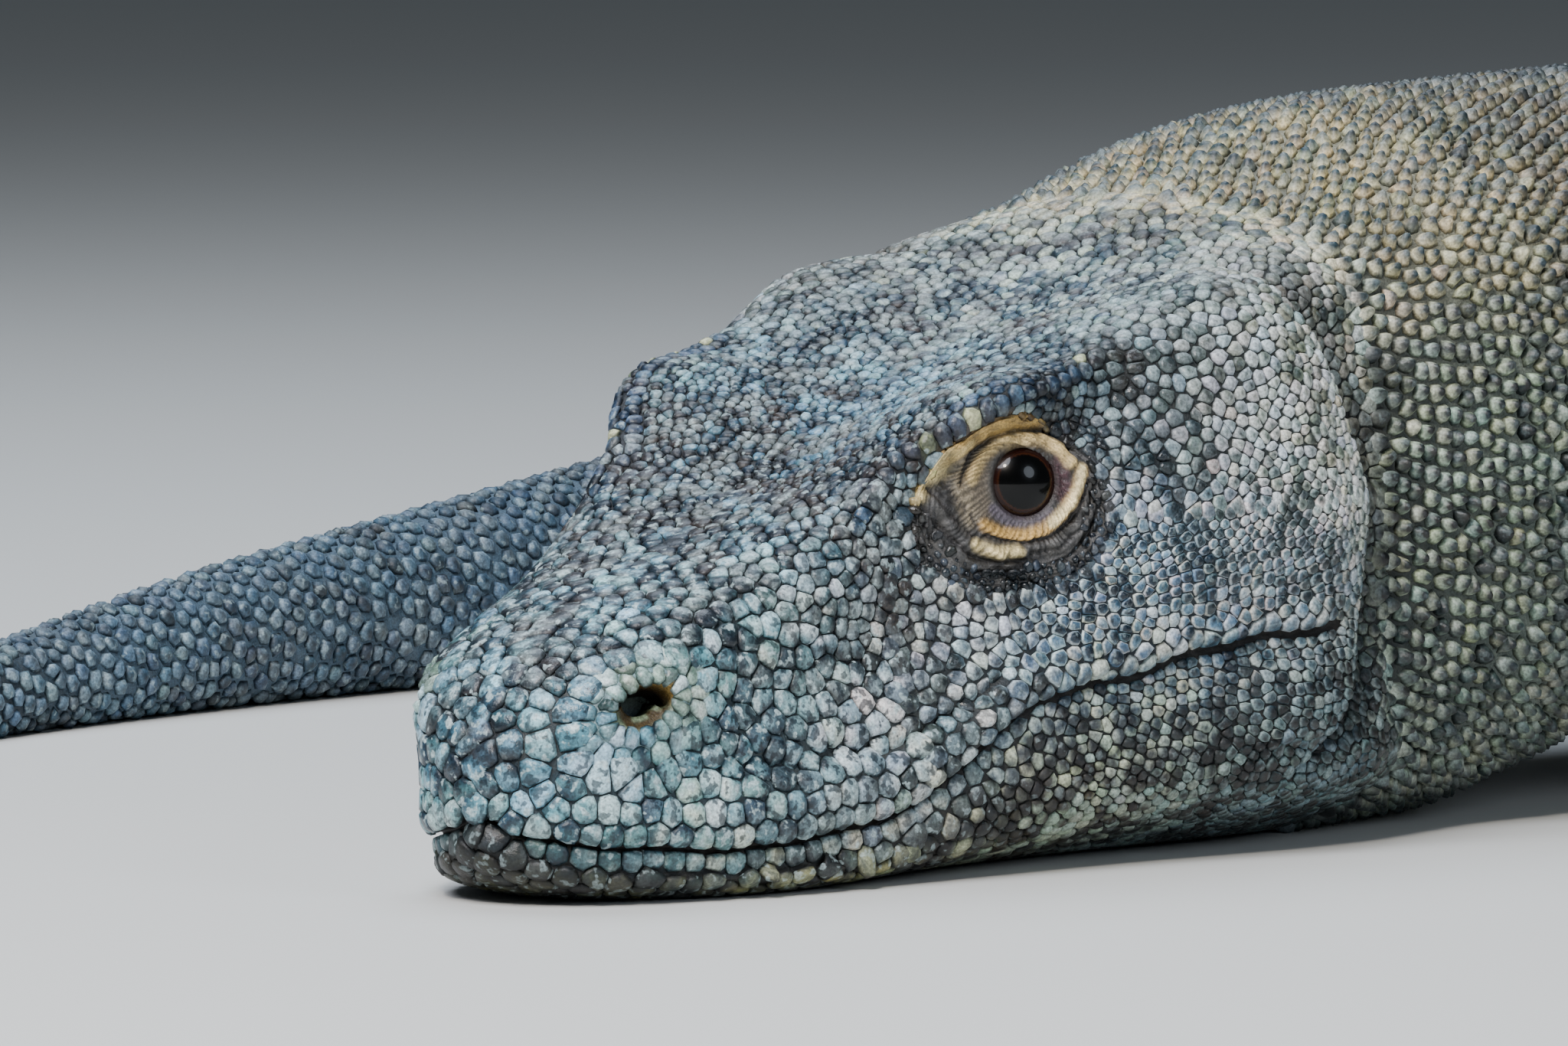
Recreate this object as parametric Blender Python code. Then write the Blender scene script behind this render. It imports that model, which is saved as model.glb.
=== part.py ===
"""A Komodo dragon, life size, at rest on the ground.

It lies curled with its chin down, its tail brought round beside its head. The
body is one lofted form: rails run from snout to tail tip (belly, jaw edge,
mouth line, cheek, brow and crown on each side), and every piece of head, neck,
trunk and tail is a length of that loft, parted from the next by a thin cut.
Legs, eyes and claws are pieces of their own.

Metres, +Z up. The animal's head looks along -Y and its left side is +X.
"""

import math

import bmesh
import bpy
import numpy as np
from mathutils import Matrix, Vector

# --- Driving sizes -------------------------------------------------------
TOTAL_LENGTH = 2.60  # snout tip to tail tip, along the back
HEAD_LENGTH = 0.205  # snout tip to the back of the jaw
HEAD_HALF_WIDTH = 0.066  # at the jaw muscles
GAP = 0.0004  # air between neighbouring pieces
STEP = 0.005  # spacing of the sampled spine
BEND_BLEND = 0.12  # length over which one bend of the spine eases into the next

# The spine seen from above: length of each stretch and how far it turns, in
# degrees, positive towards +X as it runs back from the snout.
SPINE_BENDS = (
    (0.21, 0.0),  # head, straight
    (0.26, 41.0),  # neck, out to the animal's left
    (0.60, -80.0),  # trunk, curling back
    (0.30, -59.0),  # hips
    (0.50, -106.5),  # thick of the tail
    (0.40, 27.0),  # tail, easing straight beside the head
    (0.33, -30.0),  # tail end
)

# Head rails, in millimetres. Each row is (distance from snout tip, half width,
# height). Between rows the rail runs smoothly, and near the tip it rounds off.
CROWN = ((0, 0, 24), (3, 0, 34), (12, 0, 44), (28, 0, 52), (52, 0, 60), (80, 0, 71),
         (105, 0, 83), (128, 0, 91), (150, 0, 98), (175, 0, 107), (205, 0, 121))
BROW = ((0, 0, 24), (3, 9, 32), (12, 16, 41), (28, 22, 48), (52, 26, 57), (80, 33, 72),
        (105, 41, 90), (128, 44, 93), (150, 48, 101), (175, 51, 106), (205, 50, 110))
CHEEK = ((0, 0, 22), (3, 11, 26), (12, 21, 31), (28, 27, 35), (52, 33, 37), (80, 39, 44),
         (105, 46, 54), (128, 55, 61), (150, 63, 65), (175, 66, 69), (205, 62, 70))
LIP = ((0, 0, 17), (3, 10, 13), (12, 20, 11), (28, 28, 10), (52, 36, 10), (80, 43, 16),
       (105, 50, 31), (128, 56, 39), (150, 61, 43), (175, 65, 46), (205, 65, 47))
JAW = ((0, 0, 14), (3, 8, 8), (12, 16, 4), (28, 23, 2), (52, 31, 1), (80, 38, 3),
       (105, 45, 7), (128, 51, 10), (150, 58, 12), (175, 64, 13), (205, 66, 14))
CHIN = ((0, 0, 13), (3, 0, 6), (12, 0, 2), (28, 0, -1), (52, 0, -3), (80, 0, -3),
        (105, 0, -3), (128, 0, -4), (150, 0, -5), (175, 0, -6), (205, 0, -7))

# Body stations behind the head: distance from snout tip, half width, top, height
# of the widest point, and how far the belly would sag below the ground, all in
# metres, then how square the section is (2 is an ellipse). The ground flattens
# whatever hangs below it.
BODY = (
    (0.205, 0.064, 0.121, 0.055, 0.006, 2.6),  # back of the head
    (0.228, 0.068, 0.131, 0.056, 0.005, 2.8),  # throat pouch
    (0.255, 0.072, 0.1375, 0.058, 0.004, 2.6),  # nape
    (0.300, 0.077, 0.1410, 0.061, -0.008, 2.3),  # neck, its throat off the ground
    (0.360, 0.084, 0.1445, 0.066, -0.011, 2.2),
    (0.440, 0.098, 0.153, 0.066, 0.010, 2.2),  # shoulders
    (0.580, 0.122, 0.171, 0.067, 0.016, 2.2),  # chest
    (0.760, 0.142, 0.179, 0.065, 0.020, 2.2),  # belly
    (0.920, 0.144, 0.177, 0.063, 0.020, 2.2),  # paunch
    (1.060, 0.120, 0.170, 0.066, 0.014, 2.2),  # loin
    (1.180, 0.098, 0.158, 0.066, 0.010, 2.1),  # hips
    (1.300, 0.074, 0.132, 0.056, 0.008, 2.0),  # tail root
    (1.480, 0.053, 0.104, 0.044, 0.006, 2.0),
    (1.700, 0.040, 0.084, 0.035, 0.005, 2.0),
    (1.950, 0.029, 0.064, 0.027, 0.004, 2.0),
    (2.120, 0.0225, 0.051, 0.022, 0.003, 2.0),
    (2.220, 0.0180, 0.0415, 0.018, 0.003, 2.0),
    (2.305, 0.0135, 0.0315, 0.013, 0.002, 2.0),
    (2.430, 0.0070, 0.0150, 0.006, 0.001, 2.0),
    (2.520, 0.0042, 0.0085, 0.0035, 0.001, 2.0),
    (2.600, 0.0008, 0.003, 0.0015, 0.000, 2.0),  # tail tip
)
HEAD_BLEND = (0.180, 0.250)  # where the head's rails hand over to the body's

# Section angle of each rail on the body, from the widest point upwards.
RAIL_ANGLES = (-90.0, -48.0, -16.0, 16.0, 50.0, 90.0)
RAILS = 10  # chin, four on the left, crown, four on the right

# The fold where the jaw muscle overhangs the neck.
FOLD_AT = 0.192
FOLD_DEPTH = 0.006
FOLD_WIDTH = 0.007
FOLD_RAILS = (1.2, 1.9, 3.6, 4.4)  # where it starts, is full, starts to fade and ends


def smooth_through(x, knots, values):
    """Cubic through the knots, read at x, level-headed at its ends."""
    knots = np.asarray(knots, float)
    values = np.asarray(values, float)
    slopes = np.empty_like(values)
    rise = np.diff(values, axis=0) / np.diff(knots).reshape((-1,) + (1,) * (values.ndim - 1))
    slopes[1:-1] = (rise[1:] + rise[:-1]) / 2
    slopes[0], slopes[-1] = rise[0], rise[-1]
    x = np.clip(np.asarray(x, float), knots[0], knots[-1])
    i = np.clip(np.searchsorted(knots, x, side="right") - 1, 0, len(knots) - 2)
    width = knots[i + 1] - knots[i]
    t = (x - knots[i]) / width
    if values.ndim == 2:
        t, width = t[..., None], width[..., None]
    start, end = values[i], values[i + 1]
    return (
        (1 + 2 * t) * (1 - t) ** 2 * start
        + t * (1 - t) ** 2 * width * slopes[i]
        + t * t * (3 - 2 * t) * end
        + t * t * (t - 1) * width * slopes[i + 1]
    )


def smoothstep(x, low, high):
    """0 below low, 1 above high, eased between."""
    t = np.clip((np.asarray(x, float) - low) / (high - low), 0, 1)
    return t * t * (3 - 2 * t)


def spine_samples():
    """Distance, place and heading (radians) at even steps from snout to tail tip."""
    s = np.arange(0.0, TOTAL_LENGTH + STEP / 2, STEP)
    bend = np.zeros_like(s)
    start = 0.0
    for length, turn in SPINE_BENDS:
        bend[(s >= start) & (s < start + length)] = math.radians(turn) / length
        start += length
    reach = int(BEND_BLEND / STEP)
    window = np.hanning(reach + 2)[1:-1]
    padded = np.pad(bend, (reach, reach), mode="edge")
    bend = np.convolve(padded, window / window.sum(), mode="same")[reach:-reach]
    heading = np.concatenate([[0.0], np.cumsum((bend[1:] + bend[:-1]) / 2 * STEP)])
    middle = (heading[1:] + heading[:-1]) / 2
    x = np.concatenate([[0.0], np.cumsum(np.sin(middle) * STEP)])
    y = np.concatenate([[0.0], np.cumsum(np.cos(middle) * STEP)])
    return s, x, y, heading


SPINE = spine_samples()


def spine_at(s):
    """Place (x, y) and heading of the spine at distance s from the snout tip."""
    along, x, y, heading = SPINE
    return np.interp(s, along, x), np.interp(s, along, y), np.interp(s, along, heading)


def to_world(s, side, height):
    """A point beside the spine: side metres to the animal's left, at that height."""
    x, y, heading = spine_at(s)
    return np.stack([x + side * np.cos(heading), y - side * np.sin(heading), height], -1)


def head_rails(s):
    """(side, height) of the six rails of the left side of the head, in metres."""
    found = []
    for rail in (CHIN, JAW, LIP, CHEEK, BROW, CROWN):
        rows = np.array(rail, float) / 1000
        found.append(smooth_through(np.sqrt(s), np.sqrt(rows[:, 0]), rows[:, 1:]))
    return np.stack(found, -2)


def body_rails(s):
    """(side, height) of the same six rails on neck, trunk and tail."""
    rows = np.array(BODY)
    half, top, wide_at, sag, square = np.moveaxis(
        smooth_through(s, rows[:, 0], rows[:, 1:]), -1, 0
    )
    found = []
    for angle in np.radians(RAIL_ANGLES):
        reach = abs(math.cos(angle)) ** (2 / square)
        rise = abs(math.sin(angle)) ** (2 / square)
        height = wide_at + rise * ((top - wide_at) if angle > 0 else -(wide_at + sag))
        found.append(np.stack([half * reach, height], -1))
    return np.stack(found, -2)


def rails_at(s):
    """All ten rails round the body at s, from the belly's midline up the left side."""
    s = np.asarray(s, float)
    share = smoothstep(s, *HEAD_BLEND)[..., None, None]
    left = head_rails(np.minimum(s, HEAD_LENGTH)) * (1 - share) + body_rails(s) * share
    right = left[..., 4:0:-1, :] * np.array([-1.0, 1.0])
    return np.concatenate([left, right], -2)


def section_point(s, v):
    """(side, height) on the loft at distance s, v being the rail number, 0 to 10."""
    rails = rails_at(s)
    first = np.floor(v).astype(int)
    t = (v - first)[..., None]
    before, start, end, after = (
        np.take_along_axis(rails, ((first + k) % RAILS)[..., None, None], -2)[..., 0, :]
        for k in (-1, 0, 1, 2)
    )
    point = 0.5 * (
        2 * start
        + (end - before) * t
        + (2 * before - 5 * start + 4 * end - after) * t**2
        + (3 * start - before - 3 * end + after) * t**3
    )
    return point[..., 0] * (1 - fold_at(s, v)), point[..., 1]


def fold_at(s, v):
    """Share of the half width that the fold behind the jaw takes away."""
    rail = np.minimum(v, RAILS - v)
    low, full, fading, high = FOLD_RAILS
    across = smoothstep(rail, low, full) * (1 - smoothstep(rail, fading, high))
    along = np.exp(-(((s - FOLD_AT) / FOLD_WIDTH) ** 2))
    return across * along * FOLD_DEPTH / HEAD_HALF_WIDTH


def loft_points(s, v, grow=0.0):
    """World points of the loft, pushed out by grow, and never under the ground."""
    s, v = np.broadcast_arrays(np.asarray(s, float), np.asarray(v, float))
    side, height = section_point(s, v)
    if grow:
        middle = section_point(s, np.zeros_like(v))[1] + section_point(s, np.full_like(v, 5.0))[1]
        away = np.stack([side, height - middle / 2], -1)
        away /= np.maximum(np.linalg.norm(away, axis=-1, keepdims=True), 1e-6)
        side, height = side + grow * away[..., 0], height + grow * away[..., 1]
    return to_world(s, side, np.maximum(height, 0.0))


# --- Head, neck, trunk and tail -----------------------------------------
HEAD_CUT = 0.192  # where head and neck part, in the fold behind the jaw
FIRST_RING = 0.0005
HEAD_RINGS = 21
AROUND_HEAD = 4  # points per rail interval on the head
ACROSS_MOUTH = 4  # points between the lips on palate and jaw
MOUTH_RAIL = 2  # rail that runs along the left lip
# Pieces behind the head: name, start, end and the spacing of their rings.
BODY_PIECES = (
    ("neck", 0.192, 0.420, 0.021),
    ("chest", 0.420, 0.720, 0.033),
    ("belly", 0.720, 1.020, 0.033),
    ("hips", 1.020, 1.290, 0.033),
    ("tail_root", 1.290, 1.620, 0.036),
    ("tail_middle", 1.620, 2.100, 0.043),
    ("tail_end", 2.100, 2.600, 0.048),
)
AROUND_BODY = 2  # points per rail interval on the body


def rail_steps(first, last, per_interval):
    return np.linspace(first, last, (last - first) * per_interval + 1)


def head_stations():
    """Ring places along the head, close together at the blunt snout."""
    roots = np.linspace(math.sqrt(FIRST_RING), math.sqrt(HEAD_CUT - GAP / 2), HEAD_RINGS)
    return roots**2


def half_head_rings(first, last, lift):
    """Rings of the skin between two rails, shut by a flat face along the mouth."""
    v = rail_steps(first, last, AROUND_HEAD)
    across = np.linspace(0, 1, ACROSS_MOUTH + 2)[1:-1, None]
    rings = []
    for s in head_stations():
        skin = loft_points(s, v % RAILS)
        skin[[0, -1], 2] += lift
        shut = skin[-1] + (skin[0] - skin[-1]) * across
        rings.append(np.concatenate([skin, shut]))
    return rings


def body_stations(start, end, spacing):
    count = max(2, round((end - start) / spacing))
    return np.linspace(start + GAP / 2, end - GAP / 2, count + 1)


def body_rings(stations, grow=0.0):
    v = rail_steps(0, RAILS, AROUND_BODY)[:-1]
    return [loft_points(s, v, grow) for s in stations]


def make_trunk_cutter(name, pieces):
    """Guide the shape of some body pieces, a gap larger, that limbs are cut by."""
    stations = [body_stations(*row[1:]) for row in BODY_PIECES if row[0] in pieces]
    rings = body_rings(np.concatenate(stations), GAP)
    return as_cutter(solid_from_rings(name, rings, None))


# --- Eyes and nostrils ---------------------------------------------------
EYE_CENTRE = Vector((0.0370, 0.1148, 0.0720))
EYE_RADIUS = 0.0095
EYE_FACETS = (14, 9)  # round the eyeball and from pole to pole
EYE_AXIS = Vector((0.82, -0.57, 0.06)).normalized()  # where the eye looks
LID_OPENING = math.radians(43)  # half angle that the lids leave clear
SOCKET_REACH = 0.022
SOCKET_START = 0.0005  # radius of the cone at the middle of the eyeball
SOCKET_SIDES = 12
NOSTRIL_CENTRE = Vector((0.0250, 0.0203, 0.0360))
NOSTRIL_AXES = (0.0030, 0.0078, 0.0070)  # half height, half length, depth
NOSTRIL_AXIS = Vector((0.70, -0.55, 0.45)).normalized()  # the way it opens
NOSTRIL_TILT = math.radians(-12)  # its front end is the lower one


def mirrored(vector, side):
    return Vector((vector.x * side, vector.y, vector.z))


def ball(name, centre, radius, around, rings):
    bm = bmesh.new()
    place = Matrix.Translation(centre) @ Matrix.Scale(radius, 4)
    bmesh.ops.create_uvsphere(bm, u_segments=around, v_segments=rings, radius=1, matrix=place)
    return object_from_bmesh(name, bm, None)


def make_socket_cutter(name, side):
    """Ball round the eyeball with a cone that opens out between the lids."""
    centre = mirrored(EYE_CENTRE, side)
    axis = mirrored(EYE_AXIS, side)
    cutter = ball(name, centre, EYE_RADIUS + GAP, *EYE_FACETS)
    cone = bmesh.new()
    turn = axis.to_track_quat("Z", "Y").to_matrix().to_4x4()
    place = Matrix.Translation(centre + axis * SOCKET_REACH / 2) @ turn
    bmesh.ops.create_cone(
        cone, cap_ends=True, segments=SOCKET_SIDES, depth=SOCKET_REACH, radius1=SOCKET_START,
        radius2=SOCKET_REACH * math.tan(LID_OPENING), matrix=place,
    )
    opening = as_cutter(object_from_bmesh(name + "_cone", cone, None))
    boolean(cutter, opening, "UNION")
    return as_cutter(cutter)


def make_nostril_cutter(name, side):
    axis = mirrored(NOSTRIL_AXIS, side)
    back = Vector((0, 1, 0))
    along = (back - axis * back.dot(axis)).normalized()
    up = axis.cross(along) * side
    tilted = along * math.cos(NOSTRIL_TILT) + up * math.sin(NOSTRIL_TILT)
    across = tilted.cross(axis)
    turn = Matrix((across, tilted, axis)).transposed().to_4x4()
    size = Matrix.Diagonal((*NOSTRIL_AXES, 1))
    bm = bmesh.new()
    place = Matrix.Translation(mirrored(NOSTRIL_CENTRE, side)) @ turn @ size
    bmesh.ops.create_uvsphere(bm, u_segments=10, v_segments=6, radius=1, matrix=place)
    return as_cutter(object_from_bmesh(name, bm, None))


# --- Limbs ---------------------------------------------------------------
AROUND_LIMB = 10
AROUND_DIGIT = 7
AROUND_CLAW = 6
SECTION_RINGS = 5
DIGIT_RINGS = 4
CLAW_RINGS = 4
CLAW_LENGTH = 0.028
CLAW_RADIUS = 0.0046
CLAW_TIP_RADIUS = 0.0006
CLAW_ARCH = 0.004  # how far the claw's back rises over its base
CLAW_TIP_HEIGHT = 0.0018
DIGIT_ROOT_RADIUS = 0.0095
DIGIT_TIP_RADIUS = 0.0066
DIGIT_ARCH = 0.006
PALM_FLATNESS = 0.62  # height of the palm against its width
LIMB_FLATNESS = (1.0, 1.0, 0.85, PALM_FLATNESS)  # the same at each of a limb's joints
SLOPE_STEP = 0.001  # how far to each side a limb's direction is read
KNUCKLE_BACK = 0.012  # how far inside the palm a digit starts
KNUCKLE_SPREAD = 0.022  # half width that the knuckles fan over

# One row for each limb: name, the pieces' names, where it leaves the spine, which
# side, and its joints as (outward, backward, height, radius) from the spine.
LIMBS = (
    ("left_fore", ("upper_arm", "forearm", "hand"), 0.47, 1,
     ((0.055, 0.000, 0.085, 0.050), (0.165, 0.085, 0.062, 0.038),
      (0.232, -0.008, 0.030, 0.027), (0.262, -0.052, 0.018, 0.027))),
    ("right_fore", ("upper_arm", "forearm", "hand"), 0.47, -1,
     ((0.055, 0.000, 0.085, 0.050), (0.165, 0.080, 0.062, 0.036),
      (0.230, -0.014, 0.030, 0.027), (0.258, -0.060, 0.018, 0.027))),
    ("left_hind", ("thigh", "shin", "foot"), 1.12, 1,
     ((0.050, 0.000, 0.085, 0.058), (0.190, -0.060, 0.080, 0.040),
      (0.262, 0.058, 0.034, 0.028), (0.335, 0.036, 0.018, 0.027))),
    ("right_hind", ("thigh", "shin", "foot"), 1.12, -1,
     ((0.050, 0.000, 0.085, 0.058), (0.200, -0.015, 0.080, 0.040),
      (0.266, 0.105, 0.034, 0.028), (0.340, 0.087, 0.018, 0.027))),
)
# Lengths and spread in degrees (outward positive) of the digits, inner first.
HAND_DIGITS = ((0.032, -48), (0.044, -22), (0.048, 0), (0.044, 22), (0.032, 48))
FOOT_DIGITS = ((0.032, -46), (0.044, -22), (0.056, -2), (0.064, 20), (0.040, 50))


def tube_rings(points, radii, around, flatness=1.0):
    """Rings round a line of points, upright, flattened where they meet the ground."""
    points = np.asarray(points, float)
    along = np.gradient(points, axis=0)
    along /= np.linalg.norm(along, axis=1, keepdims=True)
    side = np.cross(along, (0.0, 0.0, 1.0))
    side /= np.linalg.norm(side, axis=1, keepdims=True)
    up = np.cross(side, along)
    angles = np.arange(around) * 2 * math.pi / around
    radii = np.asarray(radii, float)[:, None, None]
    flatness = np.broadcast_to(flatness, len(points))[:, None, None]
    rings = (
        points[:, None]
        + radii * np.cos(angles)[None, :, None] * side[:, None]
        + radii * flatness * np.sin(angles)[None, :, None] * up[:, None]
    )
    rings[..., 2] = np.maximum(rings[..., 2], 0.0)
    return rings


def limb_joints(root, side, joints):
    """The joints' places in the world, from their places beside the spine."""
    x, y, heading = spine_at(root)
    left = np.array([math.cos(heading), -math.sin(heading), 0.0]) * side
    back = np.array([math.sin(heading), math.cos(heading), 0.0])
    base = np.array([float(x), float(y), 0.0])
    up = np.array([0.0, 0.0, 1.0])
    return np.array([base + left * o + back * b + up * h for o, b, h, _ in joints])


def make_digit(name, palm, forward, side, length, spread, claw_material, claw_name):
    """One digit, a helper to join to its palm, and its claw, a node of its own."""
    turn = Matrix.Rotation(-side * math.radians(spread), 3, "Z")
    heading = np.array(turn @ Vector(forward))
    outward = np.cross((0.0, 0.0, 1.0), forward) * -side
    knuckle = palm - forward * KNUCKLE_BACK
    knuckle = knuckle + outward * KNUCKLE_SPREAD * math.sin(math.radians(spread))
    t = np.linspace(0, 1, DIGIT_RINGS)
    radii = DIGIT_ROOT_RADIUS + (DIGIT_TIP_RADIUS - DIGIT_ROOT_RADIUS) * t
    line = knuckle + heading * ((length + KNUCKLE_BACK) * t)[:, None]
    line[:, 2] = radii + DIGIT_ARCH * 4 * t * (1 - t) - GAP
    digit_rings = tube_rings(line, radii, AROUND_DIGIT)
    digit_rings[-1] = straightened(digit_rings[-1], line[-1], heading)
    digit = solid_from_rings(name, digit_rings, None)
    tip = line[-1] + heading * GAP
    c = np.linspace(0, 1, CLAW_RINGS)
    claw = tip + heading * (CLAW_LENGTH * c)[:, None]
    drop = tip[2] - CLAW_TIP_HEIGHT
    claw[:, 2] = tip[2] + CLAW_ARCH * 4 * c * (1 - c) - drop * c**2
    claw_radii = CLAW_RADIUS + (CLAW_TIP_RADIUS - CLAW_RADIUS) * c
    rings = tube_rings(claw, claw_radii, AROUND_CLAW)
    rings[0] = straightened(rings[0], tip, heading)
    solid_from_rings(claw_name, rings, claw_material)
    return digit


def straightened(ring, point, normal):
    """The ring pushed flat onto a plane, so that a cut end stays parallel."""
    off = (ring - point) @ normal
    return ring - off[:, None] * normal


def make_limb(name, piece_names, root, side, joints, digits, trunk, hide, horn):
    """Upper limb, lower limb, and hand or foot with five digits and claws."""
    places = limb_joints(root, side, joints)
    radii = np.array([row[3] for row in joints])
    flatness = np.array(LIMB_FLATNESS)
    knots = np.concatenate([[0], np.cumsum(np.linalg.norm(np.diff(places, axis=0), axis=1))])
    for i, piece in enumerate(piece_names):
        start = knots[i] + (GAP / 2 if i else 0)
        end = knots[i + 1] - (GAP / 2 if i < len(piece_names) - 1 else 0)
        at = np.linspace(start, end, SECTION_RINGS)
        line = smooth_through(at, knots, places)
        sizes = smooth_through(at, knots, radii)
        rings = tube_rings(line, sizes, AROUND_LIMB, smooth_through(at, knots, flatness))
        for end_ring, where in ((0, knots[i]), (-1, knots[i + 1])):
            beside = np.array([where - SLOPE_STEP, where + SLOPE_STEP])
            across = np.diff(smooth_through(beside, knots, places), axis=0)[0]
            across /= np.linalg.norm(across)
            rings[end_ring] = straightened(rings[end_ring], line[end_ring], across)
        full_name = name.split("_")[0] + "_" + piece
        obj = solid_from_rings(full_name, rings, hide)
        if i == 0:
            boolean(obj, trunk, "DIFFERENCE")
    forward = places[3] - places[2]
    forward[2] = 0
    forward /= np.linalg.norm(forward)
    for number, (length, spread) in enumerate(digits, 1):
        digit_name = f"{full_name}_digit_{number}"
        claw_name = f"{full_name}_claw_{number}"
        digit = make_digit(digit_name, places[3], forward, side, length, spread, horn, claw_name)
        boolean(obj, as_cutter(digit), "UNION")


# --- Making objects ------------------------------------------------------
def object_from_bmesh(name, bm, material):
    mesh = bpy.data.meshes.new(name)
    bm.to_mesh(mesh)
    bm.free()
    if material:
        mesh.materials.append(material)
    mesh.shade_smooth()
    obj = bpy.data.objects.new(name, mesh)
    bpy.context.scene.collection.objects.link(obj)
    return obj


def solid_from_rings(name, rings, material):
    """Object lofted through rings of points, with both ends closed."""
    rings = np.asarray(rings, float)
    around = rings.shape[1]
    bm = bmesh.new()
    rows = [[bm.verts.new(p) for p in ring] for ring in rings]
    for a, b in zip(rows[:-1], rows[1:]):
        for i in range(around):
            j = (i + 1) % around
            bm.faces.new((a[i], a[j], b[j], b[i]))
    for row in (rows[0], rows[-1]):
        centre = bm.verts.new(sum((v.co for v in row), Vector()) / around)
        for i in range(around):
            bm.faces.new((row[i], row[(i + 1) % around], centre))
    bmesh.ops.recalc_face_normals(bm, faces=bm.faces)
    bmesh.ops.triangulate(bm, faces=bm.faces)
    if bm.calc_volume(signed=True) < 0:
        bmesh.ops.reverse_faces(bm, faces=bm.faces)
    return object_from_bmesh(name, bm, material)


def as_cutter(obj):
    obj.hide_render = True
    obj.display_type = "WIRE"
    return obj


def boolean(obj, other, operation):
    modifier = obj.modifiers.new(other.name, "BOOLEAN")
    modifier.operation = operation
    modifier.object = other


def material_of(name, colour, roughness, coat=0.0):
    found = bpy.data.materials.new(name)
    found.use_nodes = True
    shader = found.node_tree.nodes["Principled BSDF"]
    shader.inputs["Base Color"].default_value = (*colour, 1)
    shader.inputs["Roughness"].default_value = roughness
    shader.inputs["Metallic"].default_value = 0.0
    shader.inputs["Coat Weight"].default_value = coat
    return found


def clear_scene():
    for obj in list(bpy.data.objects):
        bpy.data.objects.remove(obj)


def stand_on_origin():
    """Move everything so that the model's box has its bottom centre at the origin."""
    graph = bpy.context.evaluated_depsgraph_get()
    corners = []
    for obj in bpy.context.scene.objects:
        if not obj.hide_render:
            corners += [Vector(c) for c in obj.evaluated_get(graph).bound_box]
    low = Vector(min(c[i] for c in corners) for i in range(3))
    high = Vector(max(c[i] for c in corners) for i in range(3))
    shift = Vector((-(low.x + high.x) / 2, -(low.y + high.y) / 2, -low.z))
    for obj in bpy.context.scene.objects:
        obj.location = shift


def main():
    clear_scene()
    hide = material_of("hide", (0.16, 0.17, 0.16), 0.6)
    horn = material_of("claw_horn", (0.03, 0.027, 0.024), 0.35)
    eye = material_of("eye", (0.012, 0.009, 0.008), 0.05, 1.0)
    lip = MOUTH_RAIL
    upper = solid_from_rings("head", half_head_rings(lip, RAILS - lip, GAP / 2), hide)
    solid_from_rings("lower_jaw", half_head_rings(-lip, lip, -GAP / 2), hide)
    for side, word in ((1, "left"), (-1, "right")):
        boolean(upper, make_socket_cutter(f"{word}_socket", side), "DIFFERENCE")
        boolean(upper, make_nostril_cutter(f"{word}_nostril", side), "DIFFERENCE")
        eyeball = ball(f"{word}_eye", mirrored(EYE_CENTRE, side), EYE_RADIUS, *EYE_FACETS)
        eyeball.data.materials.append(eye)
    for name, start, end, spacing in BODY_PIECES:
        solid_from_rings(name, body_rings(body_stations(start, end, spacing)), hide)
    front = make_trunk_cutter("front_trunk_cutter", ("neck", "chest", "belly"))
    rear = make_trunk_cutter("rear_trunk_cutter", ("belly", "hips", "tail_root"))
    for name, pieces, root, side, joints in LIMBS:
        fore = name.endswith("fore")
        digits = HAND_DIGITS if fore else FOOT_DIGITS
        trunk = front if fore else rear
        make_limb(name, pieces, root, side, joints, digits, trunk, hide, horn)
    stand_on_origin()


main()
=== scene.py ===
"""A resting Komodo dragon at life size: skin, scales, eyes, claws, light and camera.

One closed skin follows the animal's form from snout to toes, and takes the place
of every flesh solid. Scales lie over it as solid mesh, each a low dome cut to fit
between its neighbours. Lengths are metres unless a name ends in _mm.
"""

import logging
import math
from collections.abc import Callable
from dataclasses import dataclass, field
from enum import Enum, IntEnum
from functools import partial

import bmesh
import bpy
import numpy as np
from mathutils import Matrix, Vector
from mathutils.bvhtree import BVHTree
from mathutils.kdtree import KDTree


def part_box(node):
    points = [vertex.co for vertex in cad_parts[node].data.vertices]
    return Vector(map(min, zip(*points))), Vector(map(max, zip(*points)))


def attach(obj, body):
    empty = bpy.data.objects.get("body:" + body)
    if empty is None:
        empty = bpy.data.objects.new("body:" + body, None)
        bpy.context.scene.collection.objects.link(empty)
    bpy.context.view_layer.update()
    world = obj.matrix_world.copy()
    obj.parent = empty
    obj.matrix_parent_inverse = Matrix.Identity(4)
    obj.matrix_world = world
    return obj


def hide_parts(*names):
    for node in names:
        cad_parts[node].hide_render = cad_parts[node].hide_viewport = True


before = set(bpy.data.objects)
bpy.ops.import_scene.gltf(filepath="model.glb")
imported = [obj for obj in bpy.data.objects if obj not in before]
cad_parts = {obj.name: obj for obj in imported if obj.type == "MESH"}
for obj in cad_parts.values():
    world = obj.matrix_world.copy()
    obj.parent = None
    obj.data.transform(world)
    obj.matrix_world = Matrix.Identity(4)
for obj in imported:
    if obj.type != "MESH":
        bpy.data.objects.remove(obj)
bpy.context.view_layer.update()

log = logging.getLogger("komodo")
Array = np.ndarray
MM = 0.001
FLOOR_GAP = 0.0004  # how far the bare skin stays over the floor
TONES = ("dark", "middle", "pale")
ROUND = 10  # rail numbers once round the body
SIDES = ((1, "left"), (-1, "right"))
UV_EDGE = 0.03  # margin of the bake map
UV_SPAN = 0.94  # and what lies between its margins


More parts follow.
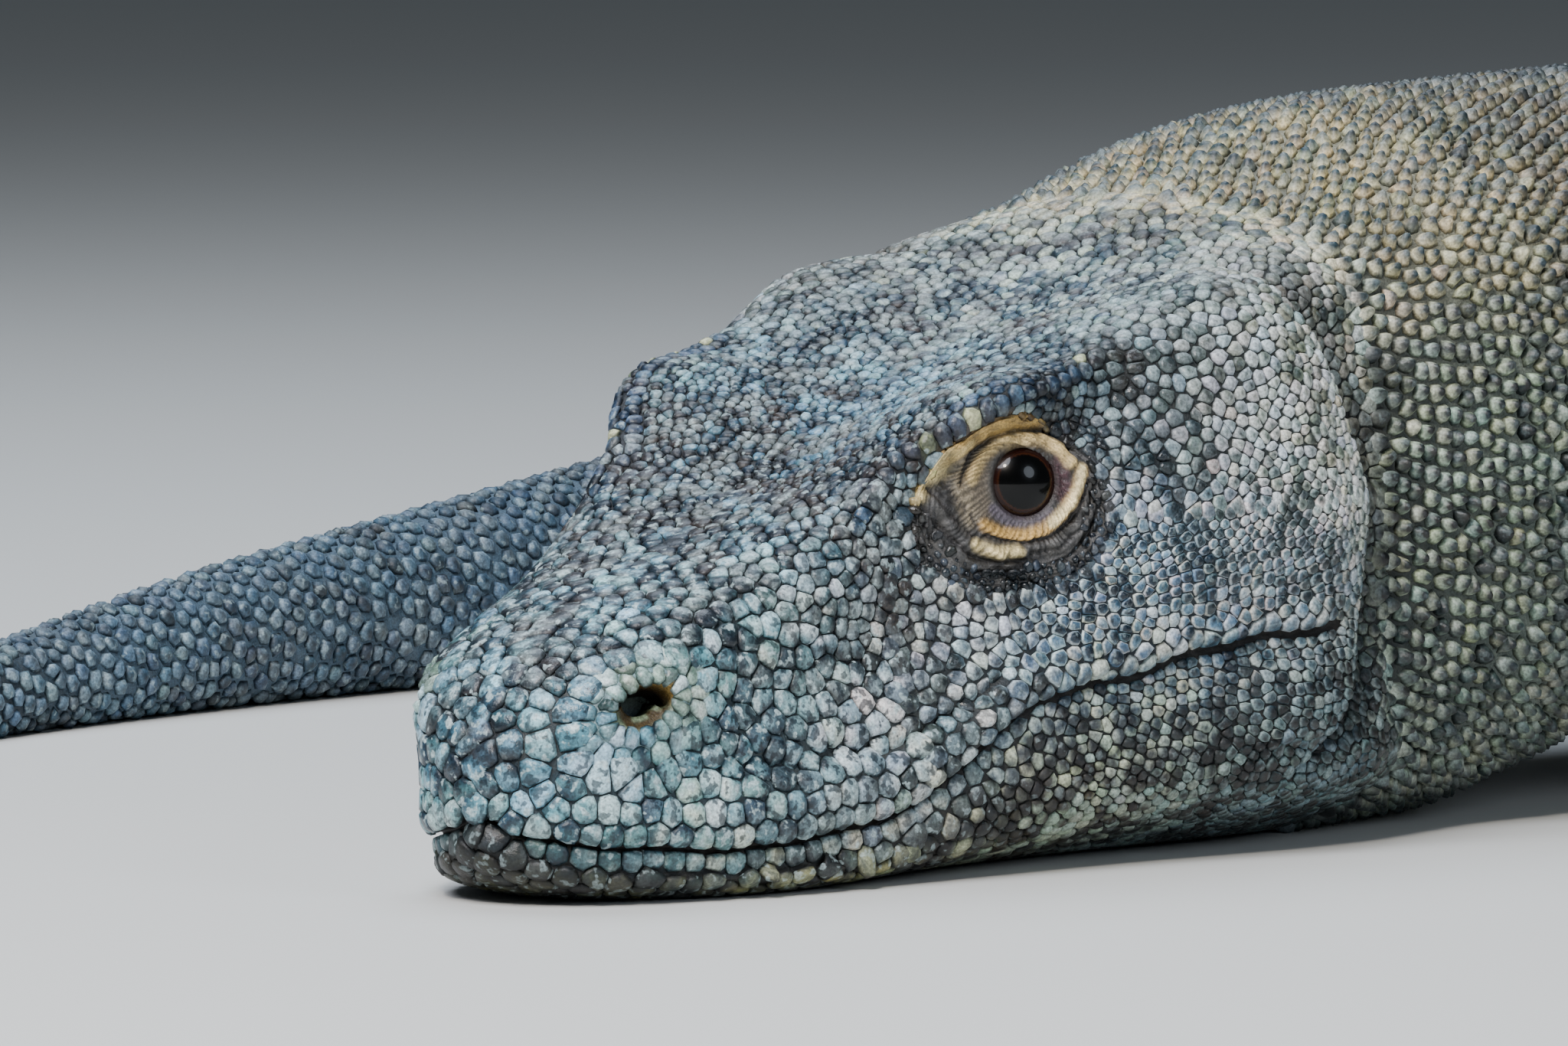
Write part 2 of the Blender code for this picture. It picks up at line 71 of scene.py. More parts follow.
# --- Small numeric tools ---------------------------------------------------
def unit(vectors: Array) -> Array:
    """The vectors, each at length one."""
    length = np.linalg.norm(vectors, axis=-1, keepdims=True)
    return vectors / np.maximum(length, 1e-12)


def smoothstep(x: Array, low: float, high: float) -> Array:
    """0 below low, 1 above high, eased between; low may be the larger."""
    t = np.clip((np.asarray(x, float) - low) / (high - low), 0, 1)
    return t * t * (3 - 2 * t)


def bump(x: Array, centre: float, width: float) -> Array:
    """A smooth hill of height one round centre."""
    return np.exp(-(((np.asarray(x, float) - centre) / width) ** 2))


def smooth_through(x: Array, knots: Array, values: Array) -> Array:
    """Cubic through the knots, read at x.

    Args:
        x: where to read it.
        knots: rising places of the known values.
        values: one number or one row for each knot.

    Returns:
        The values at x.
    """
    knots = np.asarray(knots, float)
    values = np.asarray(values, float)
    slopes = np.empty_like(values)
    rise = np.diff(values, axis=0) / np.diff(knots).reshape((-1,) + (1,) * (values.ndim - 1))
    slopes[1:-1] = (rise[1:] + rise[:-1]) / 2
    slopes[0], slopes[-1] = rise[0], rise[-1]
    x = np.clip(np.asarray(x, float), knots[0], knots[-1])
    i = np.clip(np.searchsorted(knots, x, side="right") - 1, 0, len(knots) - 2)
    width = knots[i + 1] - knots[i]
    t = (x - knots[i]) / width
    if values.ndim == 2:
        t, width = t[..., None], width[..., None]
    start, end = values[i], values[i + 1]
    return (
        (1 + 2 * t) * (1 - t) ** 2 * start
        + t * (1 - t) ** 2 * width * slopes[i]
        + t * t * (3 - 2 * t) * end
        + t * t * (t - 1) * width * slopes[i + 1]
    )


def hashed(cells: Array, seed: int) -> Array:
    """A repeatable number from 0 to 1 for each whole-number cell.

    Args:
        cells: whole numbers, three to a row.
        seed: picks one of many patterns.

    Returns:
        One number for each row.
    """
    mixed = cells.astype(np.int64) @ np.array([73856093, 19349663, 83492791]) + seed * 15485863
    mixed = (mixed ^ (mixed >> 13)) * 1274126177
    return ((mixed ^ (mixed >> 16)) & 0xFFFFFF) / float(0xFFFFFF)


def cloud(points: Array, size: float, seed: int) -> Array:
    """Smooth random patches of about that size, from 0 to 1.

    Args:
        points: points, one row each.
        size: width of a patch.
        seed: picks one of many patterns.

    Returns:
        One number for each point.
    """
    scaled = np.asarray(points) / size
    base = np.floor(scaled)
    part = scaled - base
    part = part * part * (3 - 2 * part)
    total = np.zeros(len(scaled))
    for corner in np.ndindex(2, 2, 2):
        corner = np.array(corner)
        weight = np.prod(np.where(corner, part, 1 - part), axis=1)
        total += weight * hashed(base + corner, seed)
    return total


def linear(code: str) -> Array:
    """Linear red, green and blue of an sRGB hex colour."""
    srgb = np.array([int(code[i : i + 2], 16) for i in (1, 3, 5)]) / 255
    return np.where(srgb <= 0.04045, srgb / 12.92, ((srgb + 0.055) / 1.055) ** 2.4)


def run_along(points: Array) -> Array:
    """Distance run along a line of points, counted from its first."""
    return np.concatenate([[0], np.cumsum(np.linalg.norm(np.diff(points, axis=0), axis=1))])


def ring_angles(count: int, shift: float = 0.0) -> Array:
    """Even angles round a circle, turned on by a share of one step."""
    return (np.arange(count) + shift) * 2 * math.pi / count


def tree_of(points: Array) -> KDTree:
    """A search tree of points."""
    tree = KDTree(len(points))
    for i, point in enumerate(points.tolist()):
        tree.insert(point, i)
    tree.balance()
    return tree


class Hit(IntEnum):
    """What a search tree tells of the point it finds."""

    PLACE = 0
    NUMBER = 1
    DISTANCE = 2


def nearest(tree: KDTree, points: Array, hit: Hit) -> Array:
    """What the tree tells of its point nearest each of these."""
    return np.array([tree.find(p)[hit] for p in points.tolist()])


# --- The animal's form -------------------------------------------------------
@dataclass(frozen=True)
class Form:
    """The loft that head, neck, trunk and tail follow.

    A point on it is (s, v): s runs along the back from the snout, v round the
    body from the chin (0) over jaw, lip, cheek and brow to the crown (5) and on
    down the right side to 10. It lies with the snout tip over the origin.
    """

    total_length: float = 2.60
    head_length: float = 0.205
    bends: tuple = ((0.21, 0.0), (0.26, 41.0), (0.60, -80.0), (0.30, -59.0), (0.50, -106.5),
                    (0.40, 27.0), (0.33, -30.0))
    step: float = 0.005
    bend_blend: float = 0.12
    head_blend: tuple = (0.180, 0.250)
    rail_angles: tuple = (-90.0, -48.0, -16.0, 16.0, 50.0, 90.0)
    crown: tuple = ((0, 0, 24), (3, 0, 34), (12, 0, 44), (28, 0, 52), (52, 0, 60), (80, 0, 71),
                    (105, 0, 83), (128, 0, 91), (150, 0, 98), (175, 0, 107), (205, 0, 121))
    brow: tuple = ((0, 0, 24), (3, 9, 32), (12, 16, 41), (28, 22, 48), (52, 26, 57), (80, 33, 72),
                   (105, 41, 90), (128, 44, 93), (150, 48, 101), (175, 51, 106), (205, 50, 110))
    cheek: tuple = ((0, 0, 22), (3, 11, 26), (12, 21, 31), (28, 27, 35), (52, 33, 37), (80, 39, 44),
                    (105, 46, 54), (128, 55, 61), (150, 63, 65), (175, 66, 69), (205, 62, 70))
    lip: tuple = ((0, 0, 17), (3, 10, 13), (12, 20, 11), (28, 28, 10), (52, 36, 10), (80, 43, 16),
                  (105, 50, 31), (128, 56, 39), (150, 61, 43), (175, 65, 46), (205, 65, 47))
    jaw: tuple = ((0, 0, 14), (3, 8, 8), (12, 16, 4), (28, 23, 2), (52, 31, 1), (80, 38, 3),
                  (105, 45, 7), (128, 51, 10), (150, 58, 12), (175, 64, 13), (205, 66, 14))
    chin: tuple = ((0, 0, 13), (3, 0, 6), (12, 0, 2), (28, 0, -1), (52, 0, -3), (80, 0, -3),
                   (105, 0, -3), (128, 0, -4), (150, 0, -5), (175, 0, -6), (205, 0, -7))
    body: tuple = (
        (0.205, 0.064, 0.121, 0.055, 0.006, 2.6), (0.228, 0.068, 0.131, 0.056, 0.005, 2.8),
        (0.255, 0.072, 0.1375, 0.058, 0.004, 2.6), (0.300, 0.077, 0.1410, 0.061, -0.008, 2.3),
        (0.360, 0.084, 0.1445, 0.066, -0.011, 2.2), (0.440, 0.098, 0.153, 0.066, 0.010, 2.2),
        (0.580, 0.122, 0.171, 0.067, 0.016, 2.2), (0.760, 0.142, 0.179, 0.065, 0.020, 2.2),
        (0.920, 0.144, 0.177, 0.063, 0.020, 2.2), (1.060, 0.120, 0.170, 0.066, 0.014, 2.2),
        (1.180, 0.098, 0.158, 0.066, 0.010, 2.1), (1.300, 0.074, 0.132, 0.056, 0.008, 2.0),
        (1.480, 0.053, 0.104, 0.044, 0.006, 2.0), (1.700, 0.040, 0.084, 0.035, 0.005, 2.0),
        (1.950, 0.029, 0.064, 0.027, 0.004, 2.0), (2.120, 0.0225, 0.051, 0.022, 0.003, 2.0),
        (2.220, 0.0180, 0.0415, 0.018, 0.003, 2.0), (2.305, 0.0135, 0.0315, 0.013, 0.002, 2.0),
        (2.430, 0.0070, 0.0150, 0.006, 0.001, 2.0), (2.520, 0.0042, 0.0085, 0.0035, 0.001, 2.0),
        (2.600, 0.0008, 0.003, 0.0015, 0.000, 2.0),
    )
    spine: tuple = field(init=False, default=())

    def __post_init__(self) -> None:
        """Work out the spine once."""
        s = np.arange(0.0, self.total_length + self.step / 2, self.step)
        bend = np.zeros_like(s)
        start = 0.0
        for length, turn in self.bends:
            bend[(s >= start) & (s < start + length)] = math.radians(turn) / length
            start += length
        reach = int(self.bend_blend / self.step)
        window = np.hanning(reach + 2)[1:-1]
        padded = np.pad(bend, (reach, reach), mode="edge")
        bend = np.convolve(padded, window / window.sum(), mode="same")[reach:-reach]
        heading = np.concatenate([[0.0], np.cumsum((bend[1:] + bend[:-1]) / 2 * self.step)])
        middle = (heading[1:] + heading[:-1]) / 2
        x = np.concatenate([[0.0], np.cumsum(np.sin(middle) * self.step)])
        y = np.concatenate([[0.0], np.cumsum(np.cos(middle) * self.step)])
        object.__setattr__(self, "spine", (s, x, y, heading))

    def spine_at(self, s: Array) -> tuple:
        """Place (x, y) and heading of the spine at s."""
        along, x, y, heading = self.spine
        return np.interp(s, along, x), np.interp(s, along, y), np.interp(s, along, heading)

    def rails_at(self, s: Array) -> Array:
        """(side, height) of the ten rails at each s.

        Args:
            s: distances along the loft from the snout.

        Returns:
            Sections, ten rows of (side, height) each.
        """
        share = smoothstep(s, *self.head_blend)[..., None, None]
        left = self.head_rails(np.minimum(s, self.head_length)) * (1 - share)
        left = left + self.body_rails(s) * share
        right = left[..., 4:0:-1, :] * np.array([-1.0, 1.0])
        return np.concatenate([left, right], -2)

    def head_rails(self, s: Array) -> Array:
        """(side, height) of the left side's rails on the head.

        Args:
            s: distances along the loft from the snout.

        Returns:
            Sections, six rows of (side, height) each.
        """
        rails = (self.chin, self.jaw, self.lip, self.cheek, self.brow, self.crown)
        rows = [np.array(rail, float) * MM for rail in rails]
        found = [smooth_through(np.sqrt(s), np.sqrt(r[:, 0]), r[:, 1:]) for r in rows]
        return np.stack(found, -2)

    def body_rails(self, s: Array) -> Array:
        """(side, height) of the left side's rails on neck, trunk and tail.

        Args:
            s: distances along the loft from the snout.

        Returns:
            Sections, six rows of (side, height) each.
        """
        rows = np.array(self.body)
        read = smooth_through(s, rows[:, 0], rows[:, 1:])
        half, top, wide_at, sag, square = np.moveaxis(read, -1, 0)
        found = []
        for angle in np.radians(self.rail_angles):
            reach = abs(math.cos(angle)) ** (2 / square)
            rise = abs(math.sin(angle)) ** (2 / square)
            height = wide_at + rise * ((top - wide_at) if angle > 0 else -(wide_at + sag))
            found.append(np.stack([half * reach, height], -1))
        return np.stack(found, -2)

    def point(self, s: Array, v: Array) -> Array:
        """Points on the loft, never under the ground.

        Args:
            s: distances along the loft from the snout.
            v: places round the body, 0 to 10.

        Returns:
            The points.
        """
        s, v = np.broadcast_arrays(np.asarray(s, float), np.asarray(v, float))
        rails = self.rails_at(s)
        first = np.floor(v).astype(int)
        t = (v - first)[..., None]
        before, start, end, after = (
            np.take_along_axis(rails, ((first + k) % ROUND)[..., None, None], -2)[..., 0, :]
            for k in (-1, 0, 1, 2)
        )
        section = 0.5 * (
            2 * start
            + (end - before) * t
            + (2 * before - 5 * start + 4 * end - after) * t**2
            + (3 * start - before - 3 * end + after) * t**3
        )
        x, y, heading = self.spine_at(s)
        side = section[..., 0]
        height = np.maximum(section[..., 1], 0.0)
        return np.stack([x + side * np.cos(heading), y - side * np.sin(heading), height], -1)

    def normal(self, s: Array, v: Array) -> Array:
        """Outward directions of the loft.

        Args:
            s: distances along the loft from the snout.
            v: places round the body, 0 to 10.

        Returns:
            One direction of length one for each place.
        """
        s, v = np.broadcast_arrays(np.asarray(s, float), np.asarray(v, float))
        ds, dv = 0.002, 0.06
        low = np.maximum(s - ds, 1e-5)
        along = self.point(s + ds, v) - self.point(low, v)
        around = self.point(s, (v + dv) % ROUND) - self.point(s, (v - dv) % ROUND)
        return unit(np.cross(along, around))


FORM = Form()


def rail_of(v: Array) -> Array:
    """Rail number folded onto one side, 0 at the chin and 5 at the crown."""
    v = np.mod(v, ROUND)
    return np.minimum(v, ROUND - v)


def on_side(rail: Array, side: int) -> Array:
    """Place round the body of a rail on the left (1) or the right (-1) side."""
    return rail if side > 0 else ROUND - rail


# --- Head features -----------------------------------------------------------
EYE_CENTRE = np.array([0.0370, 0.1148, 0.0720])
EYE_RADIUS = 0.0095
EYE_AXIS = unit(np.array([0.82, -0.57, 0.06]))
LID_MIDDLE = (0.1050, 3.40)  # (s, rail) at the middle of the lids
LID_HALF = (0.0208, 0.44)  # and how far they reach from it
LID_SQUARE = 2.5  # how square their outline is; 2 is an ellipse
LID_TILT = 0.21  # how many rails their front end stands higher than their middle
NOSTRIL_CENTRE = np.array([0.0245, 0.0205, 0.0363])
NOSTRIL_AXIS = unit(np.array([0.72, -0.55, 0.42]))
MOUTH_END = 0.179  # how far back the mouth runs
FOLD_RAILS = (1.0, 1.4, 1.7, 2.0, 2.5, 3.0, 3.5, 3.9, 4.25, 4.6)  # the crease where the jaw muscle
FOLD_PLACES = (0.168, 0.177, 0.182, 0.187, 0.189, 0.190, 0.183, 0.177, 0.178, 0.186)  # overhangs the neck
LEDGE_PLACES = (0.0700, 0.0786, 0.0858, 0.0925, 0.1028, 0.1122, 0.1252, 0.1400)  # the edge of the brow
LEDGE_RAILS = (4.00, 4.02, 4.09, 3.98, 3.88, 3.87, 3.94, 4.02)


def mirrored(vector: Array, side: int) -> Array:
    """The vector on the left (1) or the right (-1) side of the head."""
    return vector * np.array([side, 1.0, 1.0])


def eye_distance(points: Array) -> Array:
    """Distance from the nearer eye."""
    near = np.where(points[..., :1] < 0, -1.0, 1.0) * np.array([1.0, 0, 0]) + np.array([0, 1.0, 1.0])
    return np.linalg.norm(points * near - EYE_CENTRE, axis=-1)


def eye_share(s: Array, rail: Array) -> Array:
    """Distance from the middle of the lids on the loft, 1 at their outer edge.

    Args:
        s: distances along the loft from the snout.
        rail: rail numbers on one side.

    Returns:
        One number for each place.
    """
    along = (s - LID_MIDDLE[0]) / LID_HALF[0]
    across = (rail - LID_MIDDLE[1] + LID_TILT * along) / LID_HALF[1]
    return (np.abs(along) ** LID_SQUARE + np.abs(across) ** LID_SQUARE) ** (1 / LID_SQUARE)


def ellipse_reach(points: Array, centre: Array, along: Array, up: Array, half: tuple) -> Array:
    """Distance from centre in units of an ellipse's half axes, mirrored to both sides.

    Args:
        points: points, one row each.
        centre: the ellipse's middle on the left side.
        along: direction of its first axis.
        up: direction of its second axis.
        half: the half axes.

    Returns:
        One number for each point.
    """
    flipped = points * np.where(points[..., :1] < 0, [-1.0, 1, 1], [1.0, 1, 1])
    away = flipped - centre
    return np.hypot(away @ along / half[0], away @ up / half[1])


def frame_round(axis: Array, tilt: float) -> tuple:
    """Two directions square to axis: backwards along the head, turned by tilt, and up.

    Args:
        axis: direction of length one.
        tilt: an angle in radians.

    Returns:
        The two directions.
    """
    back = np.array([0.0, 1.0, 0.0])
    along = unit(back - axis * (back @ axis))
    up = unit(np.cross(along, axis))
    if up[2] < 0:
        up = -up
    turned = along * math.cos(tilt) + up * math.sin(tilt)
    return turned, unit(up * math.cos(tilt) - along * math.sin(tilt))


NOSTRIL_FRAME = frame_round(NOSTRIL_AXIS, math.radians(10))
EYE_FRAME = frame_round(EYE_AXIS, 0.0)


def fold_line(rail: Array) -> Array:
    """Where the crease behind the jaw runs."""
    knots = np.array(FOLD_RAILS)
    return smooth_through(np.clip(rail, knots[0], knots[-1]), knots, np.array(FOLD_PLACES))


def fold_strength(rail: Array) -> Array:
    """How marked the crease behind the jaw is."""
    return smoothstep(rail, 0.9, 1.5) * smoothstep(rail, 4.50, 3.95)


def ledge_rail(s: Array) -> Array:
    """Rail along which the edge of the brow runs."""
    return np.interp(s, LEDGE_PLACES, LEDGE_RAILS)


def mouth_rail(s: Array) -> Array:
    """Rail along which the mouth runs."""
    return 2.0 - 0.10 * smoothstep(s, 0.108, 0.130) + 0.014 * np.sin(s / 0.0031) + 0.012 * np.sin(s / 0.0073)


def mouth_gap(s: Array, rail: Array) -> Array:
    """Distance over the mouth's line, in metres."""
    return (rail - mouth_rail(s)) * np.clip(0.018 + 0.12 * s, 0.018, 0.036)


def head_relief(s: Array, v: Array, points: Array) -> Array:
    """How far the bare head stands out from its loft, in metres, along the normal.

    Args:
        s: distances along the loft from the snout.
        v: places round the body, 0 to 10.
        points: the same places in space.

    Returns:
        One height for each place.
    """
    rail = rail_of(v)
    out = np.zeros(s.shape)
    # Mouth: the upper lip overhangs a groove that deepens towards its corner.
    mouth = 1 - smoothstep(s, MOUTH_END - 0.006, MOUTH_END + 0.002)
    across = mouth_gap(s, rail)
    out -= mouth * 0.0027 * bump(across, 0, 0.0012)
    out -= mouth * 0.0013 * smoothstep(across, 0.0, -0.002) * smoothstep(rail, 0.9, 1.5)
    out += mouth * 0.0005 * bump(across, 0.004, 0.003)
    # A crease runs back from the nostril over the swollen lip.
    above = across - 0.0135 + 0.02 * np.clip(s - 0.07, 0, 1)
    lip = smoothstep(s, 0.030, 0.042) * smoothstep(s, 0.112, 0.094)
    out -= lip * 0.0017 * bump(above, 0, 0.0012)
    out += lip * 0.0009 * bump(above, -0.0048, 0.0030)
    # Below the corner of the mouth the cheek's flesh hangs in a soft fold.
    out += 0.0014 * bump(s, 0.165, 0.018) * bump(rail, 1.62, 0.28)
    out -= 0.0016 * bump(s - 0.012 * (rail - 1.2), 0.168, 0.018) * bump(rail, 1.22, 0.13)
    # Brow: a firm edge over a hollow.
    brow = smoothstep(s, 0.070, 0.088) * smoothstep(s, 0.140, 0.128)
    over = rail - ledge_rail(s)
    out += 0.0024 * brow * bump(over, 0.03, 0.11)
    out -= 0.0036 * brow * bump(over, -0.24, 0.15)
    out -= 0.0034 * bump(rail, 3.50, 0.26) * bump(s, 0.088, 0.011)
    out -= 0.0016 * bump(rail, 3.05, 0.35) * bump(s, 0.074, 0.022)
    # Crown: a shallow trough between the brows, a rise at the temples.
    out -= 0.0016 * bump(rail, 5.0, 0.55) * bump(s, 0.106, 0.026)
    out += 0.0010 * bump(rail, 3.75, 0.35) * bump(s, 0.158, 0.018)
    out -= 0.0012 * bump(rail, 3.6, 0.20) * bump(s, 0.137, 0.006)
    # Wrinkles that run round the lower side of the eye.
    distance = eye_distance(points)
    below = smoothstep(points[..., 2], EYE_CENTRE[2] + 0.001, EYE_CENTRE[2] - 0.008)
    ripple = np.cos((distance - 0.0165) * 2 * math.pi / 0.0034)
    out += 0.0005 * ripple * below * bump(distance, 0.0200, 0.0042) * (s < 0.15)
    # Swollen nostril and the trough behind it.
    reach = ellipse_reach(points, NOSTRIL_CENTRE, *NOSTRIL_FRAME, (0.0125, 0.0085))
    out += 0.0009 * np.exp(-((reach - 0.75) ** 2) / 0.12)
    out -= 0.0012 * bump(s, 0.046, 0.012) * bump(rail, 2.95, 0.22)
    # The fold behind the jaw: a lip of skin over a deep crease, then pleats.
    strength = fold_strength(rail)
    behind = s - fold_line(rail)
    out += strength * 0.0018 * bump(behind, -0.012, 0.009)
    out -= strength * 0.0055 * bump(behind, 0.0022, 0.0030)
    wide = strength * smoothstep(rail, 4.25, 3.5)
    out -= wide * 0.0085 * smoothstep(behind, -0.0020, 0.0015) * np.exp(-np.maximum(behind, 0) / 0.024)
    for number, gap in enumerate((0.011, 0.020, 0.031)):
        lean = gap + 0.006 * (2.4 - rail)
        pleat = bump(rail, 1.95, 0.55) * (1 - 0.25 * number)
        out -= 0.0022 * pleat * bump(behind, lean, 0.0022)
    # Throat pleats along the jaw.
    throat = smoothstep(s, 0.120, 0.150) * smoothstep(s, 0.250, 0.215) * bump(rail, 1.1, 0.5)
    out += 0.0005 * throat * np.cos(rail * 2 * math.pi / 0.17)
    return out


def body_relief(s: Array, v: Array) -> Array:
    """Soft folds and hollows of neck and trunk, in metres along the normal.

    Args:
        s: distances along the loft from the snout.
        v: places round the body, 0 to 10.

    Returns:
        One height for each place.
    """
    rail = rail_of(v)
    out = -0.0022 * bump(s, 0.262, 0.006) * bump(rail, 1.6, 0.8)
    out -= 0.0030 * bump(s, 0.405 + 0.02 * (rail - 2), 0.008) * bump(rail, 2.3, 0.9)
    out -= 0.0022 * bump(s, 0.345, 0.007) * bump(rail, 1.9, 0.7)
    flank = smoothstep(s, 0.60, 0.70) * smoothstep(s, 1.06, 0.98)
    out -= 0.0012 * flank * bump(rail, 2.2, 0.8) * (0.5 + 0.5 * np.cos(s * 2 * math.pi / 0.045))
    back = smoothstep(s, 0.50, 0.60) * smoothstep(s, 1.35, 1.20)
    return out - 0.0020 * back * bump(rail, 4.72, 0.2)


def coat_depth(s: Array) -> Array:
    """Thickness that the scales take up over the skin, in metres."""
    depth = 0.0011 + 0.0016 * smoothstep(s, 0.19, 0.26)
    depth = depth - 0.0009 * smoothstep(s, 1.0, 2.1) - 0.0009 * smoothstep(s, 2.2, 2.5)
    return depth + 0.0011 * smoothstep(s, 0.016, 0.0)


def skin_point(s: Array, v: Array) -> tuple:
    """Points of the bare skin and the loft's outward directions there.

    Args:
        s: distances along the loft from the snout.
        v: places round the body, 0 to 10.

    Returns:
        The points and the directions.
    """
    s, v = np.broadcast_arrays(np.asarray(s, float), np.asarray(v, float))
    rail = rail_of(v)
    lap = 0.0042 * fold_strength(rail) * bump(s - fold_line(rail), -0.0025, 0.0030)
    base = FORM.point(s + lap, v)
    normal = FORM.normal(s + lap, v)
    head = smoothstep(s, 0.310, 0.250)
    lift = head_relief(s, v, base) * head + body_relief(s, v) - coat_depth(s)
    lift = np.where(base[..., 2] < 0.004, -coat_depth(s), lift)
    found = base + normal * lift[..., None]
    found[..., 2] = np.maximum(found[..., 2], FLOOR_GAP)
    return found, normal


# --- Meshes ------------------------------------------------------------------
def mesh_object(name: str, points: Array, faces: Array, attributes: dict | None = None) -> bpy.types.Object:
    """A smooth object from points and triangles.

    Args:
        name: its name.
        points: its points, one row each.
        faces: its triangles, as point numbers.
        attributes: name to one number, or one colour, for each point.

    Returns:
        The linked object.
    """
    mesh = bpy.data.meshes.new(name)
    points = np.asarray(points, np.float32)
    faces = np.asarray(faces, np.int32)
    mesh.vertices.add(len(points))
    mesh.vertices.foreach_set("co", points.ravel())
    mesh.loops.add(faces.size)
    mesh.loops.foreach_set("vertex_index", faces.ravel())
    mesh.polygons.add(len(faces))
    mesh.polygons.foreach_set("loop_start", np.arange(len(faces), dtype=np.int32) * 3)
    mesh.update(calc_edges=True)
    mesh.validate()
    for key, values in (attributes or {}).items():
        store(mesh, key, values)
    mesh.shade_smooth()
    obj = bpy.data.objects.new(name, mesh)
    bpy.context.scene.collection.objects.link(obj)
    return obj


def store(mesh: bpy.types.Mesh, key: str, values: Array) -> None:
    """Keep one number, or one colour, for each point of the mesh.

    Args:
        mesh: whose points they are.
        key: the name they are kept under.
        values: a row of numbers, or three columns of colour.
    """
    values = np.asarray(values, np.float32)
    if values.ndim == 1:
        mesh.attributes.new(key, "FLOAT", "POINT").data.foreach_set("value", values)
        return
    rgba = np.concatenate([values, np.ones((len(values), 1), np.float32)], 1)
    mesh.attributes.new(key, "FLOAT_COLOR", "POINT").data.foreach_set("color", rgba.ravel())


def grid_faces(rows: int, columns: int, closed: bool, start: int = 0) -> Array:
    """Triangles of a grid of points, row by row, wrapped round if closed.

    Args:
        rows: how many rows of points.
        columns: how many points in a row.
        closed: whether the last column meets the first.
        start: number of the first point.

    Returns:
        The triangles, as point numbers.
    """
    r = np.arange(rows - 1)[:, None]
    c = np.arange(columns if closed else columns - 1)[None, :]
    a = r * columns + c
    b = r * columns + (c + 1) % columns
    quads = np.stack([a, b, b + columns, a + columns], -1).reshape(-1, 4) + start
    return np.concatenate([quads[:, [0, 1, 2]], quads[:, [0, 2, 3]]])


def fan(start: int, around: int, centre: int, inward: bool = False) -> Array:
    """Triangles from each side of a closed ring of points to one point.

    Args:
        start: number of the ring's first point.
        around: how many points it has.
        centre: number of the point they meet in.
        inward: whether to turn them the other way.

    Returns:
        The triangles, as point numbers.
    """
    i = np.arange(around)
    ends = [start + i, start + (i + 1) % around]
    if inward:
        ends.reverse()
    return np.stack([*ends, np.full(around, centre)], 1)


def outward(points: Array, faces: Array) -> Array:
    """The triangles of a closed surface, turned so that they face out.

    Args:
        points: points, one row each.
        faces: its triangles, as point numbers.

    Returns:
        The triangles.
    """
    corners = points[faces]
    volume = np.einsum("ij,ij->i", corners[:, 0], np.cross(corners[:, 1], corners[:, 2])).sum()
    return faces if volume > 0 else faces[:, ::-1]


def read_points(obj: bpy.types.Object) -> Array:
    """The object's points."""
    found = np.empty(len(obj.data.vertices) * 3, np.float32)
    obj.data.vertices.foreach_get("co", found)
    return found.reshape(-1, 3).astype(float)


def write_points(obj: bpy.types.Object, points: Array) -> None:
    """Move the object's points."""
    obj.data.vertices.foreach_set("co", np.asarray(points, np.float32).ravel())
    obj.data.update()


def select_only(objects: list) -> None:
    """Select just these objects and make the first of them active."""
    bpy.ops.object.select_all(action="DESELECT")
    for obj in objects:
        obj.select_set(True)
    bpy.context.view_layer.objects.active = objects[0]


def join_objects(objects: list, name: str) -> bpy.types.Object:
    """All the objects as one, under a new name.

    Args:
        objects: what to join; the first keeps its place.
        name: the new name.

    Returns:
        The one object.
    """
    select_only(objects)
    bpy.ops.object.join()
    objects[0].name = name
    objects[0].data.name = name
    return objects[0]


def apply_modifiers(obj: bpy.types.Object) -> None:
    """Apply every modifier of the object."""
    select_only([obj])
    for modifier in list(obj.modifiers):
        bpy.ops.object.modifier_apply(modifier=modifier.name)


